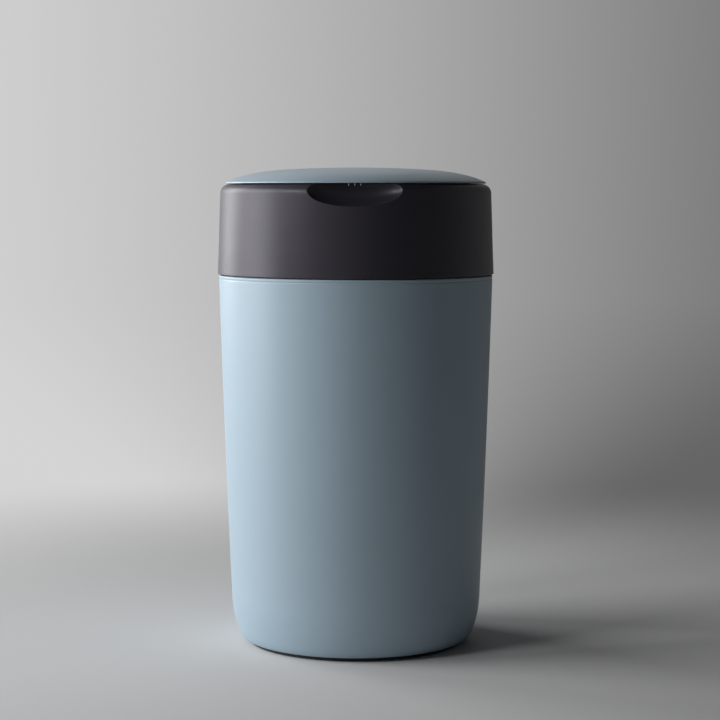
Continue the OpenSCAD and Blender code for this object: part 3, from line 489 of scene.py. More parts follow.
def rounded(points, step=math.radians(10)):
    """Closed outline: each (x, y, radius) corner becomes an arc, and each (x, y) stays a point."""
    out = []
    for i, point in enumerate(points):
        here = Vector(point[:2])
        if len(point) < 3 or point[2] == 0:
            out.append(tuple(here))
            continue
        to_last = (Vector(points[i - 1][:2]) - here).normalized()
        to_next = (Vector(points[(i + 1) % len(points)][:2]) - here).normalized()
        half = to_last.angle(to_next) / 2
        centre = here + (to_last + to_next).normalized() * point[2] / math.sin(half)
        start = here + to_last * point[2] / math.tan(half) - centre
        turn = math.copysign(math.pi - 2 * half, to_next.cross(to_last))
        count = max(2, math.ceil(abs(turn) / step))
        for k in range(count + 1):
            c, s = math.cos(turn * k / count), math.sin(turn * k / count)
            out.append((centre.x + c * start.x - s * start.y, centre.y + s * start.x + c * start.y))
    return out


def block(x0, y0, x1, y1, *radii):
    """Rectangle with one radius, or with one for each corner from (x0, y0) anticlockwise."""
    corners = ((x0, y0), (x1, y0), (x1, y1), (x0, y1))
    return rounded([(*at, r) for at, r in zip(corners, radii * 4)])


def twice_area(p):
    """Twice the area inside a closed outline, negative if it runs clockwise."""
    return (p[:, 0] * np.roll(p[:, 1], -1) - np.roll(p[:, 0], -1) * p[:, 1]).sum()


def mitred(outline):
    """Points of a closed outline, anticlockwise, and the way that each goes for an inset of 1."""
    p = np.array(outline, float)
    if twice_area(p) < 0:
        p = p[::-1]
    along = np.roll(p, -1, 0) - p
    along /= np.hypot(*along.T)[:, None]
    inner = np.stack([-along[:, 1], along[:, 0]], 1)
    mitre = inner + np.roll(inner, 1, 0)
    return p, mitre / (mitre * inner).sum(1)[:, None]


def bands(rings, n):
    """Faces between neighbouring rings of n points."""
    return [(k * n + i, k * n + (i + 1) % n, (k + 1) * n + (i + 1) % n, (k + 1) * n + i)
            for k in range(rings - 1) for i in range(n)]


def eased(a, towards, b, t):
    """Place at t on the curve from a to b that is drawn towards a third place."""
    return a * (1 - t) ** 2 + towards * (2 * t * (1 - t)) + b * t**2


def outline_normals(outline):
    """Outward normals at both ends of each stretch of a closed outline, sharp at its corners."""
    tiny = 1e-9
    p = np.array(outline)
    step = np.roll(p, -1, 0) - p
    length = np.hypot(*step.T)
    flat = np.stack([step[:, 1], -step[:, 0]], 1)
    flat *= np.sign(twice_area(p)) / np.maximum(length, tiny)[:, None]

    def shared(by):
        other, other_length = np.roll(flat, by, 0), np.roll(length, by)
        both = flat * length[:, None] + other * other_length[:, None]
        both /= np.maximum(np.hypot(*both.T), tiny)[:, None]
        return np.where(((flat * other).sum(1) > math.cos(math.radians(SHARP)))[:, None], both, flat)

    return p, step, length, flat, shared(1), shared(-1)


def true_normals(piece, outline):
    """Gives each corner that lies on the turned surface of an outline its exact normal."""
    reach, alike, chunk, tiny = 0.02, 0.8, 20000, 1e-6
    mesh = smooth(piece, SHARP).data
    count = len(mesh.loops)
    vertex = np.empty(count, np.int32)
    mesh.loops.foreach_get("vertex_index", vertex)
    co = np.empty(len(mesh.vertices) * 3, np.float32)
    mesh.vertices.foreach_get("co", co)
    co = co.reshape(-1, 3)[vertex].astype(float) / MM
    normal = np.empty(count * 3, np.float32)
    mesh.corner_normals.foreach_get("vector", normal)
    normal = normal.reshape(-1, 3).astype(float)
    face = np.repeat(
        np.array([p.normal[:] for p in mesh.polygons]), [p.loop_total for p in mesh.polygons], axis=0)
    radius = np.hypot(co[:, 0], co[:, 1])
    out = co[:, :2] / np.maximum(radius, tiny)[:, None]
    on_axis = radius < MM
    out[on_axis] = (1, 0)
    at = np.stack([radius, co[:, 2]], 1)
    across = np.stack([(face[:, :2] * out).sum(1), face[:, 2]], 1)
    p, step, length, flat, start, end = outline_normals(outline)
    for part in (slice(i, i + chunk) for i in range(0, count, chunk)):
        away = at[part, None, :] - p[None]
        along = np.clip((away * step[None]).sum(2) / np.maximum(length**2, tiny**2)[None], 0, 1)
        gap = np.hypot(*np.moveaxis(away - along[..., None] * step[None], 2, 0))
        match = np.where((gap < reach) & (length > tiny), across[part] @ flat.T, -1)
        best = match.argmax(1)
        rows = np.arange(len(best))
        t = along[rows, best][:, None]
        turned_to = start[best] * (1 - t) + end[best] * t
        turned_to /= np.hypot(*turned_to.T)[:, None]
        exact = np.concatenate([out[part] * turned_to[:, :1], turned_to[:, 1:]], 1)
        good = (match[rows, best] > alike) & ~on_axis[part]
        normal[part][good] = exact[good]
    mesh.normals_split_custom_set(normal)
    return piece


# Geometry node trees for what is turned, repeated, coiled or crumpled


class Shaper(Tree):
    """A geometry tree with named inputs, which ends in Realize Instances and Set Material."""

    def __init__(self, name, **inputs):
        group = bpy.data.node_groups.new(name, "GeometryNodeTree")
        super().__init__(group)
        face = group.interface
        face.new_socket("Geometry", in_out="INPUT", socket_type="NodeSocketGeometry")
        for key, value in inputs.items():
            kind = "NodeSocketInt" if isinstance(value, int) else "NodeSocketFloat"
            face.new_socket(key, in_out="INPUT", socket_type=kind).default_value = value
        face.new_socket("Material", in_out="INPUT", socket_type="NodeSocketMaterial")
        face.new_socket("Geometry", in_out="OUTPUT", socket_type="NodeSocketGeometry")
        self.start = group.nodes.new("NodeGroupInput")

    def input(self, name):
        return Socket(self, self.start.outputs[name])

    def end(self, geometry):
        real = self.node("GeometryNodeRealizeInstances", inputs={"Geometry": geometry})
        done = self.node(
            "GeometryNodeSetMaterial", inputs={"Geometry": real, "Material": self.input("Material")})
        last = self.tree.nodes.new("NodeGroupOutput")
        self.feed(last.inputs["Geometry"], done)
        return self.tree


def shape_with(piece, group, slot, **values):
    """Runs a geometry tree on a piece and keeps the result as its plain mesh."""
    change = piece.modifiers.new("shape", "NODES")
    change.node_group = group
    sockets = {s.name: s.identifier for s in group.interface.items_tree if s.in_out == "INPUT"}
    for key, value in values.items():
        change[sockets[key]] = value
    change[sockets["Material"]] = material(slot)
    return settle(piece)


def turning_tree():
    """Turns an outline of points round the vertical axis."""
    t = Shaper("Turned piece", Segments=96)
    size = t.node(
        "GeometryNodeAttributeDomainSize", {"component": "MESH"}, {"Geometry": t.input("Geometry")})
    segments = t.input("Segments")
    grid = t.node("GeometryNodeMeshGrid", inputs={
        "Size X": 1.0, "Size Y": 1.0, "Vertices X": segments + 1, "Vertices Y": size})
    index = t.node("GeometryNodeInputIndex")
    column = (index / size + 0.0001).math("FLOOR")
    row = index - column * size
    where = t.node("GeometryNodeInputPosition")
    point = t.node("GeometryNodeSampleIndex", {"data_type": "FLOAT_VECTOR"}, {
        "Geometry": t.input("Geometry"), "Value": where, "Index": row})
    split = t.node("ShaderNodeSeparateXYZ", inputs={0: point}).out.node
    radius, height = Socket(t, split.outputs["X"]), Socket(t, split.outputs["Z"])
    angle = column * TURN / segments
    to = t.node("ShaderNodeCombineXYZ", inputs={
        "X": radius * angle.math("COSINE"), "Y": radius * angle.math("SINE"), "Z": height})
    moved = t.node("GeometryNodeSetPosition", inputs={"Geometry": grid, "Position": to})
    merged = t.node("GeometryNodeMergeByDistance", inputs={"Geometry": moved, "Distance": 0.002 * MM})
    return t.end(merged)


def ring_tree():
    """Repeats a piece at even steps round the vertical axis."""
    t = Shaper("Ring of pieces", Count=6, First=0.0)
    count = t.input("Count")
    points = t.node("GeometryNodePoints", inputs={"Count": count})
    index = t.node("GeometryNodeInputIndex")
    turn = index * TURN / count + t.input("First")
    spin = t.node("ShaderNodeCombineXYZ", inputs={"Z": turn})
    placed = t.node("GeometryNodeInstanceOnPoints", inputs={
        "Points": points, "Instance": t.input("Geometry"), "Rotation": spin})
    return t.end(placed)


def coil_tree():
    """Winds round wire into a spring along the vertical axis, from the origin up."""
    t = Shaper("Coil of wire", Turns=5.0, Radius=0.004, Wire=0.0005, Length=0.01)
    helix = t.node("GeometryNodeCurveSpiral", inputs={
        "Resolution": 32, "Rotations": t.input("Turns"), "Start Radius": t.input("Radius"),
        "End Radius": t.input("Radius"), "Height": t.input("Length")})
    wire = t.node("GeometryNodeCurvePrimitiveCircle", inputs={"Resolution": 12, "Radius": t.input("Wire")})
    tube = t.node("GeometryNodeCurveToMesh", inputs={
        "Curve": helix, "Profile Curve": wire, "Fill Caps": True})
    return t.end(t.node("GeometryNodeSetShadeSmooth", inputs={"Geometry": tube}))


def crumple_tree():
    """Pushes a skin in and out by smooth noise, so that it hangs in soft folds."""
    t = Shaper("Crumpled film", Depth=0.001, Scale=60.0, Stretch=0.3)
    where = t.node("GeometryNodeInputPosition")
    split = t.node("ShaderNodeSeparateXYZ", inputs={0: where}).out.node
    x, y, z = (Socket(t, out) for out in split.outputs)
    at = t.node("ShaderNodeCombineXYZ", inputs={"X": x, "Y": y, "Z": z * t.input("Stretch")})
    folds = t.node("ShaderNodeTexNoise", inputs={"Vector": at, "Scale": t.input("Scale"), "Detail": 2.0})
    radius = (x * x + y * y).math("SQRT")
    push = (folds - 0.5) * 2 * t.input("Depth") / radius
    shift = t.node("ShaderNodeCombineXYZ", inputs={"X": x * push, "Y": y * push})
    return t.end(t.node("GeometryNodeSetPosition", inputs={
        "Geometry": t.input("Geometry"), "Offset": shift}))


TREES = {}


def tree(name):
    """The named geometry tree, built when it is first needed."""
    makers = {"turn": turning_tree, "ring": ring_tree, "coil": coil_tree, "crumple": crumple_tree}
    if name not in TREES:
        TREES[name] = makers[name]()
    return TREES[name]


def turned(name, outline, slot, segments=180, exact=True):
    """Solid of revolution of a closed (radius, height) outline."""
    points = [(r, 0, z) for r, z in (*outline, outline[0])]
    piece = new_piece(name, mesh_of(name, points, []), slot)
    shape_with(piece, tree("turn"), slot, Segments=segments)
    outward(piece.data)
    return true_normals(piece, outline) if exact else piece


def ring_of(piece, count, slot, first=0.0):
    """Repeats a piece that stands at angle 0 round the vertical axis."""
    return shape_with(piece, tree("ring"), slot, Count=count, First=first)


def sunk(radius, z0, z1, slot, segments=40, exact=False):
    """Cutter for the sunk seat of a screw head."""
    return turned("sunk", [(0, z0), (radius, z0), (radius, z1), (0, z1)], slot, segments, exact)


def crumpled(piece, depth, scale, stretch):
    """Pushes a piece of film into soft folds."""
    shape_with(piece, tree("crumple"), "film", Depth=depth * MM, Scale=scale, Stretch=stretch)
    piece.data.shade_smooth()
    return piece


def extruded(name, outline, low_end, high_end, slot, edge, axes="XYZ"):
    """Prism of a closed outline with rounded rims; axes names what outline x, y and the length follow."""
    p, mitre = mitred(outline)
    n = len(p)
    rings = [(edge * (1 - math.sin(a)), low_end + edge * (1 - math.cos(a)))
             for a in np.linspace(0, math.pi / 2, 4)]
    rings += [(inset, high_end - (h - low_end)) for inset, h in reversed(rings)]
    order = [axes.index(a) for a in "XYZ"]
    points = [[(*q, h)[k] for k in order] for inset, h in rings for q in p + mitre * inset]
    faces = bands(len(rings), n) + [list(range(n))[::-1], list(range(len(points) - n, len(points)))]
    return smooth(new_piece(name, outward(mesh_of(name, points, faces)), slot))


def rounded_box(name, corner_a, corner_b, slot, edge=0.4, corner=0.8):
    """Block with rounded rims between two corners, extruded upwards."""
    (x0, y0, z0), (x1, y1, z1) = corner_a, corner_b
    corners = [(x, y, corner) for x, y in ((x0, y0), (x1, y0), (x1, y1), (x0, y1))]
    return extruded(name, rounded(corners, math.radians(30)), z0, z1, slot, edge)


def dressed(node, body, slot, bevel, segments=2):
    """A copy of a node of the frame with smooth round walls and softened edges."""
    merge, flat_angle, edge_angle = 0.004 * MM, math.radians(0.4), 32
    mesh = frame["nodes"][node].data.copy()
    with editing(mesh) as bm:
        bmesh.ops.remove_doubles(bm, verts=bm.verts, dist=merge)
        bmesh.ops.dissolve_limit(
            bm, angle_limit=flat_angle, verts=bm.verts, edges=bm.edges, delimit={"NORMAL"})
        bmesh.ops.recalc_face_normals(bm, faces=bm.faces)
    mesh.shade_smooth()
    piece = soften(new_piece(node + "_finished", mesh, slot), bevel, edge_angle, segments)
    piece.modifiers.new("even", "WEIGHTED_NORMAL").keep_sharp = True
    return place(settle(piece), body, node)


# The collar: a turned shell whose skin gives way to the finger scoop


class Skin:
    """The turned surface of an open outline at the front, addressed by arc length round it and along it."""

    def __init__(self, outline, mean_r):
        self.p = np.array(outline)
        self.s = np.concatenate([[0], np.cumsum(np.hypot(*np.diff(self.p, axis=0).T))])
        self.mean_r = mean_r

    def at(self, across, s):
        r, z = (np.interp(s, self.s, column) for column in self.p.T)
        angle = across / self.mean_r - math.pi / 2
        return Vector((r * math.cos(angle), r * math.sin(angle), z))


class Scoop:
    """Spindle along X that hollows the collar's front."""

    def __init__(self, centre, half, r):
        self.centre = Vector(centre)
        self.axes = Vector((half, r, r))

    def unit(self, point):
        d = point - self.centre
        return Vector((d.x / self.axes.x, d.y / self.axes.y, d.z / self.axes.z))

    def on(self, unit):
        u = unit.normalized()
        return self.centre + Vector((u.x * self.axes.x, u.y * self.axes.y, u.z * self.axes.z))


def hollow_rings(skin, rim, middle, scoop, deepest, soft):
    """Rings of points from a rim on the skin, over a soft edge, down to the scoop's deepest point."""
    halvings, skirt, bend, bowl, small, most = 40, 6, 6, 14, 0.02, 0.3
    spokes = []
    for across, s in rim:

        def on_skin(t):
            return skin.at(middle[0] + (across - middle[0]) * t, middle[1] + (s - middle[1]) * t)

        inside, edge_t = 0.0, 1.0
        for _ in range(halvings):
            t = (inside + edge_t) / 2
            if scoop.unit(on_skin(t)).length < 1:
                inside = t
            else:
                edge_t = t
        edge = on_skin(edge_t)
        soft_t = edge_t + soft / math.hypot(across - middle[0], s - middle[1])
        spoke = [on_skin(1 + (soft_t - 1) * (1 - (1 - k / skirt) ** 1.5)) for k in range(1, skirt + 1)]
        from_u = scoop.unit(edge).normalized()
        first = min(most, soft / (edge - scoop.on(from_u.slerp(deepest, small))).length * small)
        start, end = spoke[-1], scoop.on(from_u.slerp(deepest, first))
        spoke += [eased(start, edge, end, k / bend) for k in range(1, bend)]
        spoke += [scoop.on(from_u.slerp(deepest, first + (1 - first) * k / bowl)) for k in range(bowl)]
        spokes.append(spoke)
    return list(zip(*spokes))


def flat_side(z, s):
    """Outer radius of the collar at a height on its drafted side."""
    return COLLAR_R - s.draft * (z - COLLAR_Z0) / (COLLAR_Z1 - s.shoulder - COLLAR_Z0)


def arc(centre, radius, start, end, steps):
    """Points on an arc, angles in degrees."""
    return [(centre[0] + radius * math.cos(math.radians(a)), centre[1] + radius * math.sin(math.radians(a)))
            for a in np.linspace(start, end, steps + 1)]


def collar_outline(s):
    """Closed outline of the collar, with the rows that the scoop opens in the outer and the inner skin."""
    foot_edge, foot_steps, sides, turn_steps, top_step = 0.5, 3, 8, 12, 1.8
    plate_t, deck_w, fine_z, fine_step = 2.5, 10, 381, 2.5
    wall, spring_z = s.collar_wall, COLLAR_Z1 - s.shoulder
    plate_z, deck_r, wall_r = WELL_Z - plate_t, s.well_r - deck_w, s.well_r + wall
    centre = (COLLAR_R - s.draft - s.shoulder, spring_z)
    rows = [COLLAR_Z0 + 2 + 7 * k for k in range(sides)] + [fine_z + fine_step * k for k in range(sides)]
    rows = [z for z in rows if z < spring_z - 1]
    outer = arc((COLLAR_R - foot_edge, COLLAR_Z0 + foot_edge), foot_edge, -90, 0, foot_steps)
    outer += [(flat_side(z, s), z) for z in rows]
    shoulder = len(outer)
    outer += arc(centre, s.shoulder, 0, 90, turn_steps)
    outer += [(r, COLLAR_Z1) for r in np.arange(centre[0] - top_step, s.well_r + 2.5, -top_step)]
    well = rounded([
        (centre[0], COLLAR_Z1), (s.well_r, COLLAR_Z1, 0.8), (s.well_r, WELL_Z, 0.9), (deck_r, WELL_Z, 0.5),
        (deck_r, plate_z, 0.5), (wall_r, plate_z)])[1:]
    inner = [(wall_r, 386.0), (wall_r, 395.0)]
    first = len(outer) + len(well) + len(inner)
    inner += [(r, COLLAR_Z1 - wall) for r in np.linspace(wall_r, centre[0], 8)]
    inner += arc(centre, s.shoulder - wall, 90, 0, 6)[1:]
    inner += [(flat_side(z, s) - wall, z) for z in reversed(rows)]
    last = len(outer) + len(well) + len(inner) - 1
    inner += [(COLLAR_R - wall + 0.3, COLLAR_Z0)]
    outer_rows = (foot_steps + 1 + sides, len(outer) - 1)
    return outer + well + inner, outer_rows, (first + 1, last - sides), shoulder


def scooped_shell(name, outline, holes, slot):
    """Turned shell whose skin opens into hollows round the front, each between two rows of the outline."""
    segments, front = 360, -math.pi / 2
    n = len(outline)
    points = []
    for j in range(segments):
        angle = front + TURN * j / segments
        points += [(r * math.cos(angle), r * math.sin(angle), z) for r, z in outline]

    def at(j, i):
        return (j % segments) * n + i % n

    def whole(j, i):
        side = min(j, segments - 1 - j)
        return not any(side < h["half"] and h["rows"][0] <= i < h["rows"][1] for h in holes)

    faces = [(at(j, i), at(j + 1, i), at(j + 1, i + 1), at(j, i + 1))
             for j in range(segments) for i in range(n) if whole(j, i)]
    for hole in holes:
        first, last = hole["rows"]
        half = hole["half"]
        skin = Skin(outline[first:last + 1], hole["mean_r"])
        step = TURN / segments * hole["mean_r"]
        loop = [(j, first) for j in range(-half, half)] + [(half, i) for i in range(first, last)]
        loop += [(j, last) for j in range(half, -half, -1)] + [(-half, i) for i in range(last, first, -1)]
        rim = [(j * step, skin.s[i - first]) for j, i in loop]
        ring, count = [at(j, i) for j, i in loop], len(loop)
        for row in hollow_rings(skin, rim, (0, skin.s[hole["middle"] - first]), **hole["hollow"]):
            new = range(len(points), len(points) + count)
            points += [tuple(p) for p in row]
            faces += [(ring[k - count], ring[k + 1 - count], new[k + 1 - count], new[k - count])
                      for k in range(count)]
            ring = new
        faces += [(ring[k], ring[k + 1 - count], len(points)) for k in range(count)]
        points.append(tuple(hole["hollow"]["scoop"].on(hole["hollow"]["deepest"])))
    return new_piece(name, outward(mesh_of(name, points, faces)), slot)


def plate(name, outline, facing, radius_at, levels, slot, dish=None):
    """Rounded plate or cutter that follows the collar; levels are (inset, depth) steps, outside first."""
    p, mitre = mitred(outline)
    n, face_rings, back_rings = len(p), 12, 5
    middle, span = (p.max(0) + p.min(0)) / 2, (p.max(0) - p.min(0)) / 2
    c, s = math.cos(facing), math.sin(facing)

    def stand(u, z, depth):
        out = math.sqrt(radius_at(z) ** 2 - u * u) - depth
        return (out * c - u * s, out * s + u * c, z)

    def ring(q, depth, dished=False):
        return [stand(*v, depth + (dish(*((v - middle) / span)) if dished and dish else 0)) for v in q]

    def shrunk(inset, share):
        return middle + (p + mitre * inset - middle) * share

    (first, top), (last, bottom) = levels[0], levels[-1]
    rings = [ring(shrunk(first, 1 - k / face_rings), top, True) for k in range(face_rings - 1, 0, -1)]
    rings += [ring(p + mitre * inset, depth, k == 0) for k, (inset, depth) in enumerate(levels)]
    rings += [ring(shrunk(last, 1 - k / back_rings), bottom) for k in range(1, back_rings)]
    points = [q for row in rings for q in row]
    points += [stand(*middle, top + (dish(0, 0) if dish else 0)), stand(*middle, bottom)]
    faces = bands(len(rings), n)
    ends = ((0, len(points) - 2), ((len(rings) - 1) * n, len(points) - 1))
    faces += [(start + i, start + (i + 1) % n, centre) for i in range(n) for start, centre in ends]
    return smooth(new_piece(name, outward(mesh_of(name, points, faces)), slot))


def lip(edge, depth):
    """Levels of a cutter that leaves a rounded edge: from above the skin, round the edge, and straight in."""
    above = -1.5
    around = [(-edge * (1 - math.sin(a)), edge * (1 - math.cos(a)))
              for a in (math.pi / 2 * k / 4 for k in range(5))]
    return [(-edge, above)] + around + [(0, depth)]


def ear(name, x, half, outline, slot, edge=0.5):
    """Ear or arm seen from the side, extruded along X about x."""
    return extruded(name, outline, x - half, x + half, slot, edge, axes="YZX")


def key_shape(y, z, r, foot_z, y0=None, y1=None):
    """Side view of an ear: round about (y, z) and straight down to its foot."""
    y0 = y - r if y0 is None else y0
    y1 = y + r if y1 is None else y1
    return [(y0, foot_z), (y1, foot_z), (y1, z)] + arc((y, z), r, 10, 170, 16) + [(y0, z)]


# Operators: one for each piece or group, and one for the stage


class Builder:
    """Shared setup of the operators."""

    bl_options = {"REGISTER", "UNDO"}

    @staticmethod
    def sizes():
        return bpy.context.scene.bin_sizes

    def execute(self, context):
        if not MATERIALS:
            make_materials(context.scene.bin_finish, self.sizes())
        self.build(self.sizes())
        return {"FINISHED"}


class NAPPYBIN_OT_tub(Builder, bpy.types.Operator):
    """Tub with its rim, its catch ledges and the ears of the head's hinge"""

    bl_idname = "nappybin.tub"
    bl_label = "Tub"

    def build(self, s):
        rim_r, rim_z = COLLAR_R - s.proud, COLLAR_Z0 - s.seam
        bend_z = FOOT_Z + s.corner_h

        def side(z, wall=0):
            u = (z - bend_z) / (rim_z - bend_z)
            return s.base_r + (rim_r - s.base_r) * u + 4 * s.bow * u * (1 - u) - wall

        def corner(z, wall):
            drop = (bend_z - z) / (s.corner_h - wall)
            return s.base_r - s.corner_w + (s.corner_w - wall) * math.sqrt(max(0, 1 - drop * drop))

        def blend(z0, z1, wall):
            """Curve from the corner to the side that leaves each at its own slope."""
            slope = [(f(z + 0.01, wall) - f(z - 0.01, wall)) / 0.02 for f, z in ((corner, z0), (side, z1))]
            a, b = corner(z0, wall), side(z1, wall)
            mid_z = (b - a + slope[0] * z0 - slope[1] * z1) / (slope[0] - slope[1])
            mid_r = a + slope[0] * (mid_z - z0)
            return [(a * (1 - t) ** 2 + mid_r * 2 * t * (1 - t) + b * t * t,
                     z0 * (1 - t) ** 2 + mid_z * 2 * t * (1 - t) + z1 * t * t) for t in np.linspace(0, 1, 9)]

        def face(wall, top):
            turn = [math.radians(a) for a in range(0, 76, 3)]
            low_part = [(s.base_r - s.corner_w + (s.corner_w - wall) * math.sin(a),
                         bend_z - (s.corner_h - wall) * math.cos(a)) for a in turn]
            soft = blend(low_part[-1][1] + 0.5, bend_z + 12, wall)
            return low_part[:-1] + soft + [(side(z, wall), z) for z in np.linspace(bend_z + 20, top, 26)]

        groove_z, groove_deep, groove_half = rim_z - 3, 0.4, 0.9
        quarter = math.pi / 2
        groove = [(side(groove_z) - groove_deep * math.cos(a) ** 2, groove_z + groove_half * a / quarter)
                  for a in np.linspace(-quarter, quarter, 9)]
        out_edge, in_edge = 1.2, 0.6
        rim = arc((rim_r - out_edge, rim_z - out_edge), out_edge, 4, 90, 7)
        rim += arc((rim_r - s.tub_wall + in_edge, rim_z - in_edge), in_edge, 90, 180, 4)
        foot_r, key_top = high("foot_ring").x, high("foot_ring").z
        key_in, key_out, slack, foot_w, foot_edge = 7, 3, 0.1, 10, 0.8
        slot_in, slot_out, slot_top = foot_r - 7.1, foot_r - 2.9, key_top + slack
        outline = [(0, FOOT_Z), (slot_in, FOOT_Z), (slot_in, slot_top), (slot_out, slot_top),
                   (slot_out, FOOT_Z)]
        outline += face(0, groove_z - 2) + groove + rim
        outline += face(s.tub_wall, rim_z - 4)[::-1] + [(0, FOOT_Z + s.tub_wall)]
        piece = turned("tub_finished", outline, "tub_plastic", 240, exact=False)
        self.ears(piece, rim_r, rim_z)
        self.ledges(piece, side(LEDGE_Z[0]) - s.tub_wall)
        true_normals(piece, outline)
        place(piece, "tub", "tub")
        foot = [(foot_r - foot_w, FOOT_Z), (foot_r - foot_w, 0, foot_edge), (foot_r, 0, foot_edge),
                (foot_r, FOOT_Z), (foot_r - key_out, FOOT_Z), (foot_r - key_out, key_top),
                (foot_r - key_in, key_top), (foot_r - key_in, FOOT_Z)]
        place(turned("foot_ring_finished", rounded(foot), "foot_rubber", 240), "tub", "foot_ring")

    def ears(self, piece, rim_r, rim_z):
        """Ears that stand over the rim at the back and hold the head's hinge."""
        y, z, r = rim_r - 5.5, rim_z + 4.5, 4.4
        for x in (-19.95, 19.95):
            shape = key_shape(y, z, r, rim_z - 12.7, y - r, y + 2.6)
            fuse(piece, ear("ear", x, 3, shape, "tub_plastic"))

    def ledges(self, piece, wall_r):
        """Ledges inside the rim that the buttons' noses hook under."""
        half, edge = 12, 0.6
        for sign in (-1, 1):
            near, far = sign * (wall_r - 2.4), sign * (wall_r + 1)
            ends = [(near, -half, edge), (far, -half), (far, half), (near, half, edge)]
            fuse(piece, extruded("ledge", rounded(ends), *LEDGE_Z, "tub_plastic", 0.4))


class NAPPYBIN_OT_collar(Builder, bpy.types.Operator):
    """Collar with its finger scoop, hinge pocket, notch and button windows"""

    bl_idname = "nappybin.collar"
    bl_label = "Collar"

    def build(self, s):
        outline, outer_rows, inner_rows, shoulder = collar_outline(s)
        scoop_in, scoop_down, lining = 3.1, 4.7, 1.6
        centre = (0, scoop_in - (COLLAR_R - s.draft), COLLAR_Z1 - scoop_down)
        deepest = Vector((0, 0.7, -0.7)).normalized()

        def hollow(rows, mean_r, middle, more, soft):
            """The scoop in one skin of the collar, wider by more than its outer face."""
            scoop = Scoop(centre, s.scoop_half + more, s.scoop_r + more)
            return {"rows": rows, "half": 25, "mean_r": mean_r, "middle": middle,
                    "hollow": dict(scoop=scoop, deepest=deepest, soft=soft)}

        piece = scooped_shell("collar_finished", outline, [
            hollow(outer_rows, 118, shoulder + 6, 0, 0.9),
            hollow(inner_rows, 116, sum(inner_rows) // 2, lining, 0.2),
        ], "collar_plastic")

        def cut(shape, facing, depth):
            def radius_at(z):
                return flat_side(min(z, COLLAR_Z1 - s.shoulder), s)

            carve(piece, plate("cutter", shape, facing, radius_at, lip(0.5, depth), "collar_plastic"))

        half, gap, corner = 14.3, 0.3, 2.2
        for facing in (0, math.pi):
            cut(block(-half, BUTTON_Z[0] - gap, half, BUTTON_Z[1] + gap, corner), facing, 6)
        half, notch_z, below, corner = 41, COLLAR_Z0 + 11.7, COLLAR_Z0 - 6, 2.5
        across = np.linspace(-half + 5, half - 5, 19)
        cut(rounded([(-half, below), *((u, below) for u in across), (half, below), (half, notch_z, corner),
                     *((-u, notch_z) for u in across), (-half, notch_z, corner)]), math.pi / 2, 10)
        pocket(piece, s)
        true_normals(piece, outline)
        place(piece, "head", "collar")


def pocket(piece, s):
    """Gives the collar the open pocket that the lid's hinge turns in, and the ears in it."""
    wall, top_r, slot = s.collar_wall, COLLAR_R - s.draft, "collar_plastic"
    half, front, back, floor = 34, top_r - 15.6, 116, COLLAR_Z1 - 10.8
    liner = block(-half - wall, front - wall, half + wall, back, 3, 3, 0, 0)
    shell = extruded("pocket_wall", liner, floor - wall, COLLAR_Z1 - 1, slot, 0.3)
    skin_r, below, top_z = top_r - wall + 0.6, floor - 6, COLLAR_Z1 - 1.2
    skin = [(0, below), (skin_r, below), (skin_r, COLLAR_Z1 - 3.8), (top_r - s.shoulder, top_z), (0, top_z)]
    fuse(piece, carve(shell, turned("inside", skin, slot, 240, exact=False), "INTERSECT"))
    opening = block(-half, front, half, back + 19, 1.2, 1.2, 0, 0)
    carve(piece, extruded("opening", opening, floor, COLLAR_Z1 + 6, slot, 0.6))
    for x in (-16.4, 16.4):
        fuse(piece, ear("lid_ear", x, 2.5, key_shape(HINGE_Y, HINGE_Z, 3.6, floor - 0.4), slot, 0.4))


